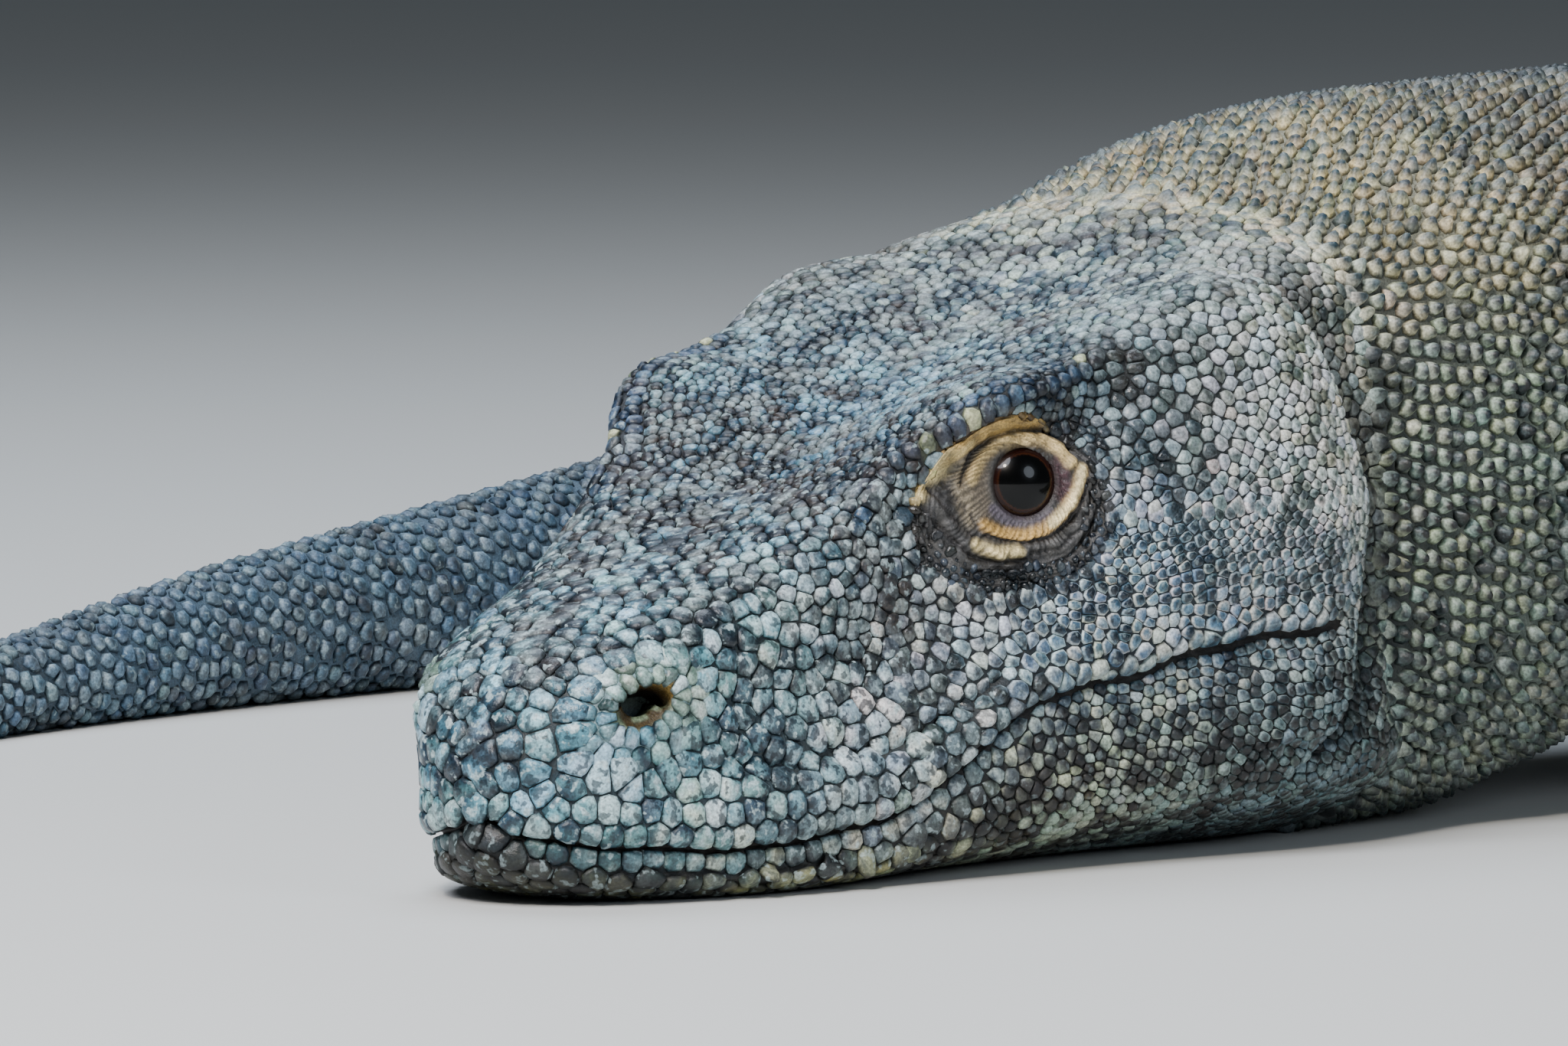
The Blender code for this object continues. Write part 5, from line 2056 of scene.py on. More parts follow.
def cell_radii(seeds: Seeds, angles: Array, groove: Array, lines: KDTree, others: int = 11) -> Array:
    """How far each scale may reach at each angle before it meets a neighbour or a shadow line.

    Args:
        seeds: where scales grow.
        angles: where to measure, from the way each lies.
        groove: half the space between neighbours.
        lines: search tree of the shadow lines.
        others: how many neighbours count.

    Returns:
        One row for each scale, one column for each angle.
    """
    tree = tree_of(seeds.points)
    near = np.array([[i for _, i, _ in tree.find_n(p, others + 1)] for p in seeds.points.tolist()])[:, 1:]
    across = np.cross(seeds.normals, seeds.lie)
    offset = seeds.points[near] - seeds.points[:, None]
    flat = np.stack([
        np.einsum("nkc,nc->nk", offset, seeds.lie), np.einsum("nkc,nc->nk", offset, across),
    ], -1)
    length = np.maximum(np.linalg.norm(offset, axis=-1), 1e-6)
    size = seeds.pitch / 2
    half = (length**2 + size[:, None] ** 2 - size[near] ** 2) / (2 * length)
    half = np.maximum(half, size[:, None] * CELL_LEAST)
    bearing = np.arctan2(flat[..., 1], flat[..., 0])
    toward = nearest(lines, seeds.points, Hit.PLACE) - seeds.points
    gap = nearest(lines, seeds.points, Hit.DISTANCE)
    stop = np.where(gap < size * 3, np.maximum(gap - LINE_HALF, size * CELL_LEAST), 1.0)
    aside = np.arctan2((toward * across).sum(1), (toward * seeds.lie).sum(1))
    half = np.concatenate([half, stop[:, None]], 1)
    bearing = np.concatenate([bearing, aside[:, None]], 1)
    facing = np.clip(np.cos(angles[None, :, None] - bearing[:, None, :]), 0, 1)
    pull = ((facing / half[:, None, :]) ** CELL_POWER).sum(-1)
    radii = np.maximum(pull, 1e-30) ** (-1 / CELL_POWER)
    radii = np.minimum(radii, size[:, None] * CELL_MOST)
    return np.maximum(radii - groove[:, None], size[:, None] * 0.3)


@dataclass
class ScaleSet:
    """One piece of the coat before it is made."""

    name: str
    seeds: Seeds
    cut: Cut
    groove: float  # half the space between neighbours
    lean: float  # how far a peak lies back from the middle, as a share of the radius
    rise: tuple  # height as a share of the pitch, and the most it may be


STYLES = {  # the last four of those fields, for each part of the animal
    "nostrils": (Cut.FINE, 0.00006, 0.0, (0.26, 0.0008)),
    "front": (Cut.FINE, 0.00004, 0.06, (0.30, 0.00105)),
    "crown": (Cut.SMALL, 0.00004, 0.06, (0.30, 0.00105)),
    "cheek": (Cut.SMALL, 0.00004, 0.06, (0.30, 0.00105)),
    "neck": (Cut.BEAD, 0.00014, 0.38, (0.60, 0.0026)),
    "chest": (Cut.PLAIN, 0.00012, 0.18, (0.34, 0.0024)),
    "body": (Cut.COARSE, 0.00012, 0.18, (0.34, 0.0024)),
    "leg": (Cut.COARSE, 0.00010, 0.10, (0.24, 0.0013)),
    "eyelids": (Cut.SMALL, 0.00005, 0.0, (0.34, 0.0007)),
}


@dataclass
class Coat:
    """Turns seeds into scales."""

    skin: Skin
    seed: int = 3
    root: float = 0.00030  # how far a scale's foot lies under the skin
    deepest: float = -0.0022  # how far the skin may drop and rise under a scale
    highest: float = 0.0010
    level: float = 0.48  # tone of a plain scale, from dark (0) to pale (1)
    own: float = 0.27  # how far each scale's tone strays, and patches of two sizes
    fine: float = 1.15
    wide: float = 0.85
    saturation: float = 1.10
    brown: str = "#544840"
    crust: str = "#a9b5b3"
    lines: KDTree = field(default_factory=lambda: tree_of(shadow_lines()))

    def make(self, part: ScaleSet) -> bpy.types.Object:
        """One joined mesh of closed, low domes, with its colours and its bake map.

        Args:
            part: what to make.

        Returns:
            The object.
        """
        seeds = part.seeds
        around, rings = part.cut.value
        height = np.minimum(seeds.pitch * part.rise[0], part.rise[1])
        angles = ring_angles(around)
        radii = cell_radii(seeds, angles, np.full(len(seeds), part.groove), self.lines)
        across = np.cross(seeds.normals, seeds.lie)
        flat = seeds.lie[:, None] * np.cos(angles)[None, :, None]
        flat = flat + across[:, None] * np.sin(angles)[None, :, None]
        rim = seeds.points[:, None] + flat * radii[..., None]
        sag = self.sag(rim, seeds.normals)
        rows = []
        shares = []
        for share, rise in rings:
            at = seeds.points[:, None] + flat * (radii * share)[..., None]
            drop = sag * share**2
            up = drop - self.root if rise is None else drop + height[:, None] * rise
            shift = 0.0 if rise is None else part.lean * rise
            at = at + seeds.lie[:, None] * (radii.mean(1) * shift)[:, None, None]
            rows.append(at + seeds.normals[:, None] * up[..., None])
            shares.append(np.full((len(seeds), around), share))
        centre = seeds.points + seeds.normals * height[:, None]
        centre = centre + seeds.lie * (radii.mean(1) * part.lean)[:, None]
        points = np.concatenate(rows + [centre[:, None]], 1)
        shares = np.concatenate(shares + [np.zeros((len(seeds), 1))], 1)
        points[..., 2] = np.maximum(points[..., 2], 0.0)
        each = points.shape[1]
        faces = self.faces(around, len(rings))
        every = (faces[None] + (np.arange(len(seeds)) * each)[:, None, None]).reshape(-1, 3)
        obj = mesh_object(part.name, points.reshape(-1, 3), every, self.tints(seeds, points, shares))
        self.bake_map(obj, seeds, angles, len(rings))
        return obj

    def sag(self, rim: Array, normals: Array) -> Array:
        """How far the skin lies under the flat rim, along each scale's own direction.

        Args:
            rim: points of each rim.
            normals: each scale's direction.

        Returns:
            One distance for each point.
        """
        found = np.empty(rim.shape[:2])
        nearest = self.skin.bvh.find_nearest
        for i, (ring, normal) in enumerate(zip(rim.tolist(), normals)):
            spots = np.array([nearest(p)[0] for p in ring])
            found[i] = (spots - rim[i]) @ normal
        return np.clip(found, self.deepest, self.highest)

    def faces(self, around: int, rings: int) -> Array:
        """Triangles of one scale: its side rings, its top and its closed underside.

        Args:
            around: points in a ring.
            rings: how many rings.

        Returns:
            The triangles, as point numbers.
        """
        j = np.arange(1, around - 1)
        return np.concatenate([
            grid_faces(rings, around, True),
            fan((rings - 1) * around, around, rings * around),
            np.stack([np.zeros_like(j), j + 1, j], 1),
        ])

    def tints(self, seeds: Seeds, points: Array, shares: Array) -> dict:
        """Colour, gloss and flecks of every point: each scale its own tone, near black in the grooves.

        Args:
            seeds: where scales grow.
            points: points by scale.
            shares: how far out in its scale each lies.

        Returns:
            Values of each point by name.
        """
        rng = np.random.default_rng(self.seed)
        flat = points.reshape(-1, 3)
        own = rng.normal(0, 1, len(seeds))
        fine = cloud(flat, 0.0021, 1).reshape(shares.shape) - 0.5
        wide = cloud(flat, 0.011, 2).reshape(shares.shape) - 0.5
        tones = seeds.tones
        level = self.level + self.own * own[:, None] + self.fine * fine + self.wide * wide
        core = tones["core"][:, None]
        level = level + tones["rim"][:, None] * 1.2 * (smoothstep(shares, core - 0.15, core + 0.15) - 0.5)
        level = np.clip(level, 0, 1)[..., None]
        low = tones["dark"][:, None] * (1 - 2 * level) + tones["middle"][:, None] * 2 * level
        high = tones["middle"][:, None] * (2 - 2 * level) + tones["pale"][:, None] * (2 * level - 1)
        colour = np.where(level < 0.5, low, high)
        hue = rng.normal(0, 0.05, (len(seeds), 1, 1)) * np.array([1.0, 0.1, -1.0])
        hue = hue + rng.normal(0, 0.025, (len(seeds), 1, 1)) * np.array([-0.7, 1.0, -0.2])
        colour = colour * (1 + hue)
        grey = (colour @ np.array([0.2126, 0.7152, 0.0722]))[..., None]
        colour = np.maximum(grey + (colour - grey) * self.saturation, 0.0)
        dusty = tones["dusty"][:, None]
        brown = smoothstep(cloud(flat, 0.0075, 5).reshape(shares.shape), 0.50, 0.64) * dusty * 0.75
        white = smoothstep(cloud(flat, 0.0034, 6).reshape(shares.shape), 0.56, 0.70) * dusty * 0.70
        colour = colour + (linear(self.brown) - colour) * brown[..., None]
        colour = colour + (linear(self.crust) - colour) * white[..., None]
        in_groove = smoothstep(shares, 0.93, 1.0)[..., None] * 0.92
        colour = colour * (1 - in_groove) + tones["dark"][:, None] * 0.35 * in_groove
        gloss = tones["gloss"][:, None] * (1 - 0.5 * smoothstep(shares, 0.8, 1.0))
        return {
            "tint": np.clip(colour, 0.002, 0.95).reshape(-1, 3),
            "gloss": gloss.reshape(-1),
            "fleck": np.repeat(tones["fleck"], shares.shape[1]),
        }

    def bake_map(self, obj: bpy.types.Object, seeds: Seeds, angles: Array, rings: int) -> None:
        """Give each scale its own small patch of the bake map, at its root's place.

        Args:
            obj: the object.
            seeds: where scales grow.
            angles: places of the points in a ring.
            rings: how many rings.
        """
        ring = np.stack([np.cos(angles), np.sin(angles)], 1)
        local = np.concatenate([ring * share for share in (1.0, 0.8, 0.5)[:rings]] + [np.zeros((1, 2))])
        corners = seeds.unwrap[:, None] + 0.0015 * local[None]
        corners = corners.reshape(-1, 2)
        loops = np.empty(len(obj.data.loops), np.int32)
        obj.data.loops.foreach_get("vertex_index", loops)
        layer = obj.data.uv_layers.new(name="OFBake")
        layer.data.foreach_set("uv", corners[loops].astype(np.float32).ravel())


# --- Finishes ----------------------------------------------------------------
@dataclass(frozen=True)
class HideFinish:
    """Living hide: markings from the mesh, fine dusty mottling, satin to glossy scales."""

    name: str
    grain_mm: float
    bump: float
    dust: str = "#8b8474"
    dust_share: float = 0.05
    roughness: float = 0.52 + 0.20  # of a scale without gloss
    gloss_effect: float = -0.56
    fleck: str = "#101a24"
    fleck_range: tuple = (0.53, 0.59)
    crust: str = "#b4c8ca"
    crust_range: tuple = (0.43, 0.36)

    def make(self) -> bpy.types.Material:
        """Build the material."""
        material, tree, shader = new_material(self.name)
        tint, gloss, fleck = (
            add_node(tree, "ShaderNodeAttribute", attribute_name=key).outputs
            for key in ("tint", "gloss", "fleck")
        )
        fine = add_noise(tree, 1 / (self.grain_mm * MM), 3.0)
        wide = add_noise(tree, 1 / (self.grain_mm * 7 * MM), 4.0)
        blotch = add_noise(tree, 1 / (self.grain_mm * 3.4 * MM), 2.5)
        colour = tint["Color"]
        for span, code in ((self.fleck_range, self.fleck), (self.crust_range, self.crust)):
            share = add_node(tree, "ShaderNodeMath", {0: remap(tree, blotch, *span), 1: fleck["Fac"]},
                             operation="MULTIPLY")
            colour = blend(tree, share.outputs["Value"], colour, (*linear(code), 1))
        mottle = remap(tree, fine, 0.30, 0.72, 0.55, 1.45)
        mottled = add_node(tree, "ShaderNodeVectorMath", {0: colour, "Scale": mottle}, operation="SCALE")
        dusty = remap(tree, wide, 0.48, 0.75, 0.0, self.dust_share)
        colour = blend(tree, dusty, mottled.outputs["Vector"], (*linear(self.dust), 1))
        rough = add_node(tree, "ShaderNodeMath", {0: gloss["Fac"], 1: self.gloss_effect, 2: self.roughness},
                         operation="MULTIPLY_ADD")
        bump_node = add_node(tree, "ShaderNodeBump", {
            "Strength": self.bump, "Distance": 0.25 * MM, "Height": fine,
        })
        feed(tree, shader, {
            "Base Color": colour, "Roughness": rough.outputs["Value"],
            "Normal": bump_node.outputs["Normal"],
        })
        return material


@dataclass(frozen=True)
class EyeFinish:
    """Wet eyeball: black pupil, thin broken gold ring, dark red-brown iris, clear coat."""

    name: str = "wet_eyeball"
    pupil: float = 32.5  # degrees from the eye's axis
    ring: float = 34.0
    iris: float = 50.0

    def make(self) -> bpy.types.Material:
        """Build the material."""
        material, tree, shader = new_material(self.name)
        look = add_node(tree, "ShaderNodeAttribute", attribute_name="look").outputs["Fac"]
        streak = add_noise(tree, 1 / (0.5 * MM), 3.0)
        uneven = add_node(tree, "ShaderNodeMath", {0: streak, 1: 0.045, 2: look}, operation="MULTIPLY_ADD")
        ramp = add_node(tree, "ShaderNodeValToRGB", {"Fac": uneven.outputs["Value"]})
        stops = ramp.color_ramp.elements
        rows = (
            (self.pupil / 90, "#020202"),
            (self.pupil / 90 + 0.014, "#120704"),
            (self.ring / 90 + 0.012, "#33190a"),
            (self.ring / 90 + 0.035, "#210c07"),
            (0.47, "#170805"),
            (self.iris / 90 + 0.05, "#080403"),
        )
        stops[0].position, stops[0].color = rows[0][0], (*linear(rows[0][1]), 1)
        stops[1].position, stops[1].color = rows[-1][0], (*linear(rows[-1][1]), 1)
        for at, code in rows[1:-1]:
            stop = stops.new(at)
            stop.color = (*linear(code), 1)
        feed(tree, shader, {
            "Base Color": ramp.outputs["Color"], "Roughness": 0.25, "Specular IOR Level": 0.1,
            "Coat Weight": 1.0, "Coat IOR": 1.27, "Coat Roughness": 0.02,
        })
        return material


@dataclass(frozen=True)
class HornFinish:
    """Worn satin claw horn, streaked lengthwise, paler at its base."""

    name: str = "worn_claw_horn"
    dark: str = "#1b1713"
    pale: str = "#4d4436"

    def make(self) -> bpy.types.Material:
        """Build the material."""
        material, tree, shader = new_material(self.name)
        streaks = add_noise(tree, 1 / (3.0 * MM), 4.0)
        colour = blend(tree, streaks, (*linear(self.dark), 1), (*linear(self.pale), 1))
        feed(tree, shader, {"Base Color": colour, "Roughness": 0.33})
        return material


def new_material(name: str) -> tuple:
    """A material, its node tree and its Principled shader.

    Args:
        name: its name.

    Returns:
        The three.
    """
    material = bpy.data.materials.new(name)
    material.use_nodes = True
    tree = material.node_tree
    return material, tree, tree.nodes["Principled BSDF"]


def feed(tree: bpy.types.NodeTree, node: bpy.types.Node, inputs: dict) -> None:
    """Set a node's inputs.

    Args:
        tree: the tree it is in.
        node: the node.
        inputs: name or number of an input, to its value or to the output that drives it.
    """
    for key, value in inputs.items():
        if isinstance(value, bpy.types.NodeSocket):
            tree.links.new(value, node.inputs[key])
        else:
            node.inputs[key].default_value = value


def add_node(tree: bpy.types.NodeTree, kind: str, inputs: dict | None = None, **values) -> bpy.types.Node:
    """A new node.

    Args:
        tree: the tree it goes into.
        kind: its type.
        inputs: what feed() sets.
        values: its own properties.

    Returns:
        The node.
    """
    node = tree.nodes.new(kind)
    for key, value in values.items():
        setattr(node, key, value)
    feed(tree, node, inputs or {})
    return node


def add_noise(tree: bpy.types.NodeTree, scale: float, detail: float) -> bpy.types.NodeSocket:
    """A noise texture on object coordinates.

    Args:
        tree: the tree it goes into.
        scale: cells to the metre.
        detail: how many finer layers.

    Returns:
        The noise's output.
    """
    place = add_node(tree, "ShaderNodeTexCoord").outputs["Object"]
    inputs = {"Vector": place, "Scale": scale, "Detail": detail}
    return add_node(tree, "ShaderNodeTexNoise", inputs).outputs["Fac"]


def remap(tree: bpy.types.NodeTree, value: bpy.types.NodeSocket, low: float, high: float,
          start: float = 0.0, end: float = 1.0) -> bpy.types.NodeSocket:
    """The value, brought from low and high to start and end.

    Args:
        tree: the tree it goes into.
        value: the output to bring over.
        low: what becomes start.
        high: what becomes end.
        start: lowest result.
        end: highest result.

    Returns:
        The output.
    """
    inputs = {"Value": value, "From Min": low, "From Max": high, "To Min": start, "To Max": end}
    return add_node(tree, "ShaderNodeMapRange", inputs).outputs["Result"]


def blend(tree: bpy.types.NodeTree, share: bpy.types.NodeSocket, below: object,
          above: object) -> bpy.types.NodeSocket:
    """A colour between two, each a colour or an output.

    Args:
        tree: the tree it goes into.
        share: output that says how much of above shows.
        below: one colour or output.
        above: the other.

    Returns:
        The output.
    """
    inputs = {"Factor": share, "A": below, "B": above}
    return add_node(tree, "ShaderNodeMix", inputs, data_type="RGBA").outputs["Result"]


# --- Eyes and claws ------------------------------------------------------------
def make_eye(side: int, finish: bpy.types.Material) -> bpy.types.Object:
    """An eyeball whose points know their angle from the way it looks, as a share of 90 degrees.

    Args:
        side: 1 for the left, -1 for the right.
        finish: its material.

    Returns:
        The object.
    """
    word = "left" if side > 0 else "right"
    bpy.ops.mesh.primitive_uv_sphere_add(segments=96, ring_count=64, radius=EYE_RADIUS)
    eye = bpy.context.object
    eye.name = eye.data.name = f"{word}_eyeball"
    axis = Vector(mirrored(EYE_AXIS, side))
    turn = axis.to_track_quat("Z", "Y").to_matrix().to_4x4()
    eye.data.transform(turn)
    points = read_points(eye)
    angle = np.degrees(np.arccos(np.clip(unit(points) @ np.array(axis), -1, 1))) / 90
    store(eye.data, "look", angle)
    write_points(eye, points + mirrored(EYE_CENTRE, side))
    bpy.ops.object.shade_smooth()
    eye.data.materials.append(finish)
    return eye


@dataclass
class ClawMaker:
    """Claws drawn out of a ring, step by step."""

    length: float = 0.0279
    radius: float = 0.0046
    tip_radius: float = 0.0006
    arch: float = 0.004
    tip_height: float = 0.0018
    around: int = 20
    steps: int = 14
    finish: bpy.types.Material | None = None

    def make(self, limb: Limb, number: int, name: str) -> bpy.types.Object:
        """One claw at the end of one digit.

        Args:
            limb: the leg.
            number: which digit.
            name: the object's name.

        Returns:
            The object.
        """
        line, heading, _ = limb.digit_line(number, np.array([1.0]), limb.gap)
        tip = line[0]
        c = np.linspace(0, 1, self.steps + 1)
        path = tip + heading * (self.length * c)[:, None]
        path[:, 2] = tip[2] + self.arch * 4 * c * (1 - c) - (tip[2] - self.tip_height) * c**2
        radii = self.tip_radius + (self.radius - self.tip_radius) * (1 - c**1.25)
        side = Vector(np.cross(heading, (0, 0, 1)))
        turn = Vector(heading).to_track_quat("Z", "Y").to_matrix().to_4x4()
        bpy.ops.mesh.primitive_circle_add(vertices=self.around, radius=radii[0], fill_type="NGON")
        claw = bpy.context.object
        claw.name = claw.data.name = name
        claw.data.transform(turn)
        claw.data.transform(Matrix.Translation(Vector(path[0])))
        bpy.ops.object.mode_set(mode="EDIT")
        bpy.ops.mesh.select_all(action="SELECT")
        lean = 0.0
        for k in range(self.steps):
            move = Vector(path[k + 1] - path[k])
            bpy.ops.mesh.extrude_region_move(TRANSFORM_OT_translate={"value": move})
            share = radii[k + 1] / radii[k]
            middle = Vector(path[k + 1])
            bpy.ops.transform.resize(value=(share, share, share), center_override=middle)
            slope = math.atan2(move.z, math.hypot(move.x, move.y))
            self.turn_end(claw, middle, side, slope - lean)
            lean = slope
        bpy.ops.mesh.select_all(action="SELECT")
        bpy.ops.mesh.normals_make_consistent(inside=False)
        bpy.ops.object.mode_set(mode="OBJECT")
        points = read_points(claw)
        points[:, 2] = np.maximum(points[:, 2], 0.0)
        write_points(claw, points)
        claw.data.shade_smooth()
        claw.data.materials.append(self.finish)
        return claw

    def turn_end(self, claw: bpy.types.Object, middle: Vector, axis: Vector, angle: float) -> None:
        """Tilt the end ring about a level axis through its middle.

        Args:
            claw: the claw, in edit mode.
            middle: middle of the ring.
            axis: the axis.
            angle: how far, in radians.
        """
        bm = bmesh.from_edit_mesh(claw.data)
        ends = [v for v in bm.verts if v.select]
        bmesh.ops.rotate(bm, verts=ends, cent=middle, matrix=Matrix.Rotation(angle, 3, axis))
        bmesh.update_edit_mesh(claw.data)


# --- Studio ------------------------------------------------------------------
@dataclass(frozen=True)
class Studio:
    """Floor, soft lights and camera."""

    azimuth: float = math.radians(37.0)
    elevation: float = math.radians(4.2)
    lens: float = 301.0
    sensor: float = 36.0
    clip: tuple = (0.05, 60.0)
    camera_at: tuple = (1.4570, -1.8390, 0.2417)
    aim: tuple = (0.03, 0.09, 0.05)
    sky: float = 0.12
    floor_size: float = 14.0
    lights: tuple = (  # name, place from the aim, size, power, colour
        ("key", (0.15, -1.20, 1.55), 1.3, 56.0, "#f1f5ff"),
        ("sun", (0.55, -1.40, 1.30), 0.22, 17.0, "#fff0dc"),
        ("front", (1.7, -0.2, 0.75), 0.8, 9.0, "#dfeaf8"),
        ("rim", (-0.6, 0.6, 1.6), 1.4, 24.0, "#dbe8f8"),
    )

    def build(self, shift: Array) -> None:
        """Add everything that isn't the animal.

        Args:
            shift: what moves the loft's origin to the frame's place.
        """
        self.add_floor()
        self.add_camera(shift)
        world = bpy.data.worlds.new("soft_sky")
        world.use_nodes = True
        background = world.node_tree.nodes["Background"]
        background.inputs["Color"].default_value = (*linear("#c3d3e2"), 1)
        background.inputs["Strength"].default_value = self.sky
        bpy.context.scene.world = world
        aim = np.array(self.aim) + shift
        for name, offset, size, power, colour in self.lights:
            self.add_light(name, aim + offset, aim, size, power, colour)

    def add_floor(self) -> None:
        """A wide pale floor at the animal's resting height."""
        bpy.ops.mesh.primitive_plane_add(size=self.floor_size)
        floor = bpy.context.object
        floor.name = "studio_floor"
        material, tree, shader = new_material("pale_matte_floor")
        feed(tree, shader, {"Base Color": (*linear("#cfcfcb"), 1), "Roughness": 0.85})
        floor.data.materials.append(material)

    def add_camera(self, shift: Array) -> None:
        """A long lens, low and level with the head."""
        camera = bpy.data.cameras.new("camera")
        camera.lens = self.lens
        camera.sensor_width = self.sensor
        camera.clip_start, camera.clip_end = self.clip
        obj = bpy.data.objects.new("camera", camera)
        obj.rotation_euler = (math.pi / 2 - self.elevation, 0.0, self.azimuth)
        obj.location = np.array(self.camera_at) + np.array([shift[0], shift[1], 0.0])
        bpy.context.scene.collection.objects.link(obj)
        bpy.context.scene.camera = obj

    def add_light(self, name: str, place: Array, aim: Array, size: float, power: float,
                  colour: str) -> None:
        """A round soft light.

        Args:
            name: its name.
            place: where it hangs.
            aim: the point it looks at.
            size: how wide it is.
            power: its power in watts.
            colour: its sRGB hex colour.
        """
        light = bpy.data.lights.new(name, "AREA")
        light.shape = "DISK"
        light.size = size
        light.energy = power
        light.color = linear(colour)
        obj = bpy.data.objects.new(name, light)
        obj.location = place
        obj.rotation_euler = Vector(aim - place).to_track_quat("-Z", "Y").to_euler()
        bpy.context.scene.collection.objects.link(obj)


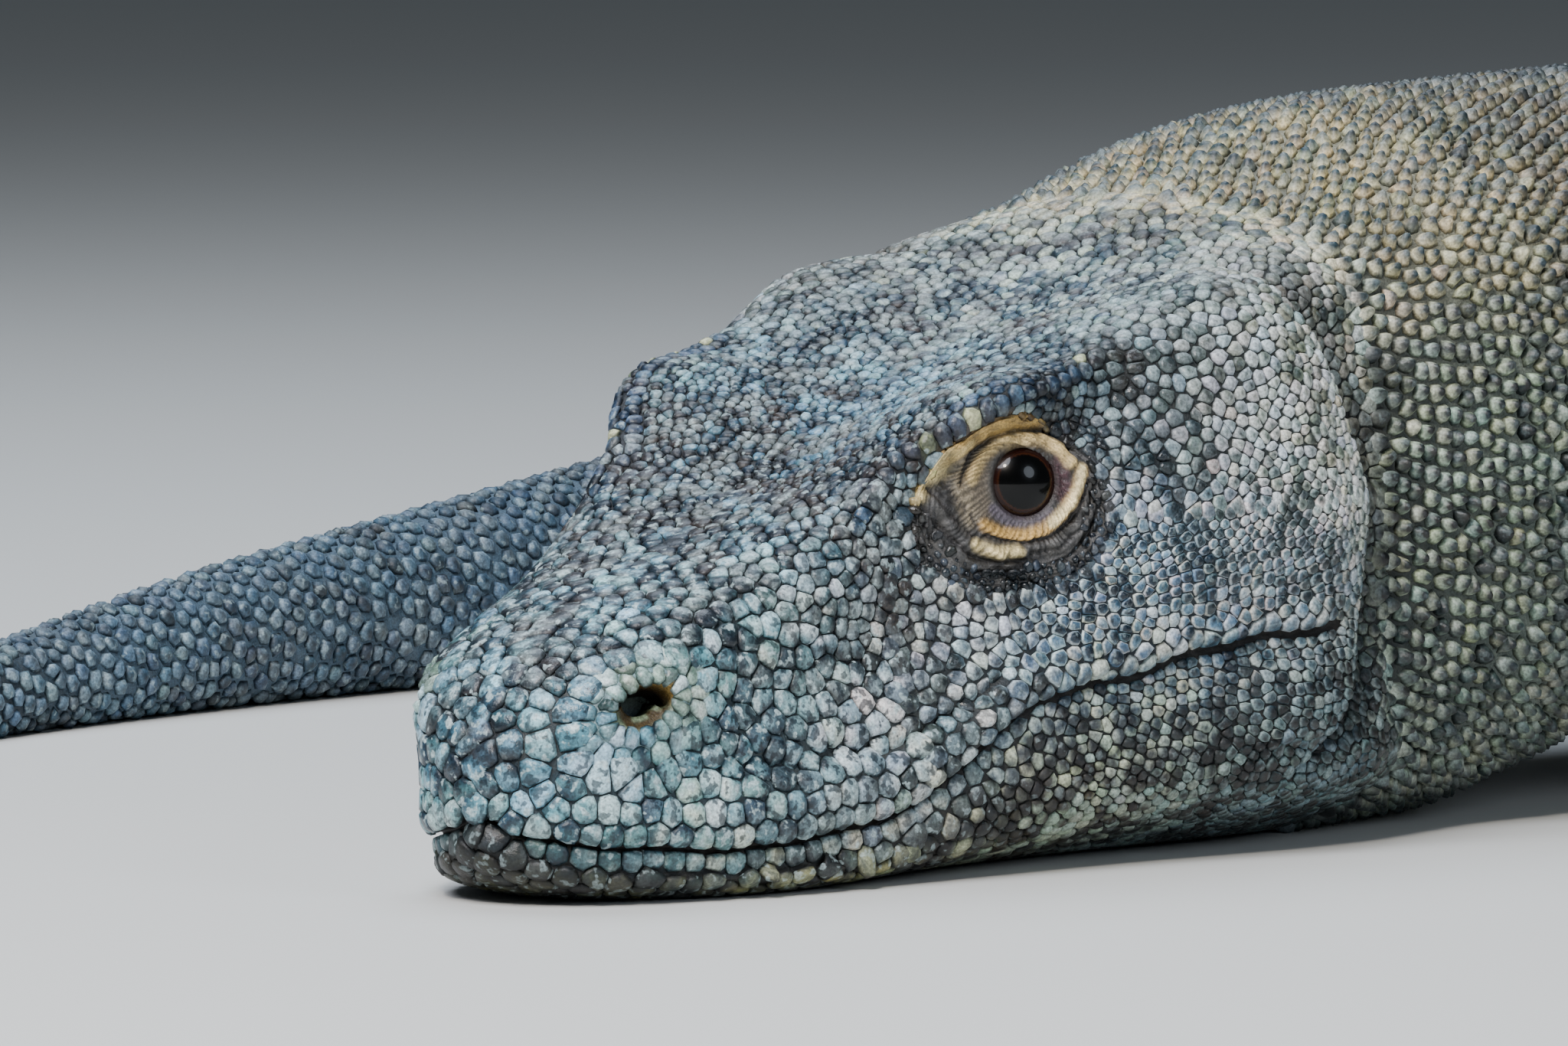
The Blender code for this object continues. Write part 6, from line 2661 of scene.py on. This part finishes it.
# --- The animal --------------------------------------------------------------
@dataclass
class Komodo:
    """Builds every piece in place and ties it to the frame."""

    shift: Array
    crowding: float = 0.58  # nearest that two scales of different sets may be
    flesh: tuple = (
        "head", "lower_jaw", "neck", "chest", "belly", "hips", "tail_root", "tail_middle", "tail_end",
    )

    def build(self) -> None:
        """Skin, then scales, eyes and claws."""
        skin = Skin()
        undented = self.undented()
        body = skin.make()
        lids = [Eyelids(side, undented) for side, _ in SIDES]
        nostrils = [Nostril(side, undented) for side, _ in SIDES]
        patches = [o.patch("lids") for o in lids] + [o.patch("nostril") for o in nostrils]
        coat = Coat(skin)
        sets = self.sow(Sower(skin), lids, nostrils)
        hide = HideFinish("scaled_hide", 0.55, 0.5).make()
        under = HideFinish("bare_hide_between_scales", 0.45, 0.8, dust_share=0.10).make()
        pieces = [coat.make(part) for part in sets]
        for piece in pieces:
            piece.data.materials.append(hide)
        self.tint_skin(body, Seeds.joined([part.seeds for part in sets]))
        for piece in (*patches, body):
            piece.data.materials.append(under)
        body = join_objects([body, *patches], "skin")
        limb_nodes = [f"{limb.name.split('_')[0]}_{piece}" for limb in LIMBS for piece in limb.pieces]
        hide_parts(*self.flesh, *limb_nodes)
        pieces.append(body)
        for piece in pieces:
            self.settle(piece)
        self.add_eyes()
        self.add_claws()

    def undented(self) -> BVHTree:
        """The head's skin before eyes and nostrils are sunk into it.

        Returns:
            Its search tree.
        """
        maker = Skin()
        s, v = np.meshgrid(maker.head_stations(), maker.head_columns(), indexing="ij")
        head, _ = skin_point(s, v)
        faces = grid_faces(*head.shape[:2], True)
        return BVHTree.FromPolygons(head.reshape(-1, 3).tolist(), faces.tolist())

    def sow(self, sower: Sower, lids: list, nostrils: list) -> list:
        """Every set of seeds, with how its scales are cut and how high they stand.

        Args:
            sower: what lays out the seeds.
            lids: the lids of both eyes.
            nostrils: both nostrils.

        Returns:
            The sets, in the order they are made.
        """
        head = sower.head()
        rims = Seeds.joined([sower.nostril(opening) for opening in nostrils])
        sets = [ScaleSet("scales_nostrils", rims, *STYLES["nostrils"])]
        front = head.points[:, 1] < 0.080
        high = head.points[:, 2] > 0.066
        regions = (("front", front), ("crown", ~front & high), ("cheek", ~front & ~high))
        for side, word in SIDES:
            on_side = head.points[:, 0] * side > 0
            for region, where in regions:
                seeds = head.kept(on_side & where)
                sets.append(ScaleSet(f"scales_head_{word}_{region}", seeds, *STYLES[region]))
        for stretch, start, end, first, last in sower.stretches:
            seeds = sower.body(start, end, first, last)
            if stretch == "neck":
                left = seeds.unwrap[:, 1] < 0.5
                for word, half in (("left", left), ("right", ~left)):
                    sets.append(ScaleSet(f"scales_neck_{word}", seeds.kept(half), *STYLES["neck"]))
                continue
            style = STYLES.get(stretch, STYLES["body"])
            sets.append(ScaleSet(f"scales_{stretch}", seeds, *style))
        for limb in LIMBS:
            sets.append(ScaleSet(f"scales_{limb.name}_leg", sower.limb(limb), *STYLES["leg"]))
        seeds = Seeds.joined([sower.lid(pair) for pair in lids])
        sets.append(ScaleSet("scales_eyelids", seeds, *STYLES["eyelids"]))
        self.thin_between(sets)
        return sets

    def thin_between(self, sets: list) -> None:
        """Drop scales of later sets that crowd those of earlier ones.

        Args:
            sets: all the sets; their seeds are changed.
        """
        whole = Seeds.joined([part.seeds for part in sets])
        kept = np.zeros(len(whole), bool)
        kept[thinned(whole.points, whole.pitch, self.crowding)] = True
        start = 0
        for part in sets:
            count = len(part.seeds)
            part.seeds = part.seeds.kept(kept[start : start + count])
            start += count

    def tint_skin(self, skin: bpy.types.Object, seeds: Seeds) -> None:
        """Give the skin the tones of the scales that grow nearest, with painted shade along the mouth line
        and the crease behind the jaw.

        Args:
            skin: the bare skin.
            seeds: every scale.
        """
        points = read_points(skin)
        near = nearest(tree_of(seeds.points), points, Hit.NUMBER)
        dark, middle, pale = (seeds.tones[key][near] for key in TONES)
        neck = smoothstep(points[:, 1], 0.19, 0.26)[:, None]  # its skin is tan between its beads
        tint = (dark * 0.32 + middle * 0.05) * (1 - neck) + (middle * 0.6 + pale * 0.25) * neck
        # Painted shade: the skin turns near black along the mouth line and the crease behind the jaw.
        gap = nearest(tree_of(shadow_lines()), points, Hit.DISTANCE)
        deep = smoothstep(gap, 0.0042, 0.0014)[:, None] * 0.9
        tint = tint * (1 - deep) + linear("#17110c") * deep
        store(skin.data, "tint", tint)
        store(skin.data, "gloss", seeds.tones["gloss"][near] * 0.4)

    def settle(self, piece: bpy.types.Object) -> None:
        """Move the piece to the frame's place and tie it there.

        Args:
            piece: the piece.
        """
        write_points(piece, read_points(piece) + self.shift)
        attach(piece, "root")
        log.info("%s: %d triangles", piece.name, len(piece.data.polygons))

    def add_eyes(self) -> None:
        """Both eyeballs."""
        finish = EyeFinish().make()
        for side, word in SIDES:
            eye = make_eye(side, finish)
            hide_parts(f"{word}_eye")
            self.settle(eye)

    def add_claws(self) -> None:
        """Twenty claws."""
        maker = ClawMaker(finish=HornFinish().make())
        for limb in LIMBS:
            side = limb.name.split("_")[0]
            for number in range(len(limb.digits)):
                node = f"{side}_{limb.pieces[2]}_claw_{number + 1}"
                claw = maker.make(limb, number, f"{node}_horn")
                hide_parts(node)
                self.settle(claw)


def main() -> None:
    """Build the animal and its studio, and note the sizes."""
    logging.basicConfig(level=logging.INFO, format="%(relativeCreated)7d %(name)s %(message)s")
    low, high = (np.array(corner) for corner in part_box("left_eye"))
    shift = (low + high) / 2 - EYE_CENTRE
    Komodo(shift).build()
    Studio().build(shift)
    bpy.context.view_layer.update()


if __name__ == "__main__":
    main()
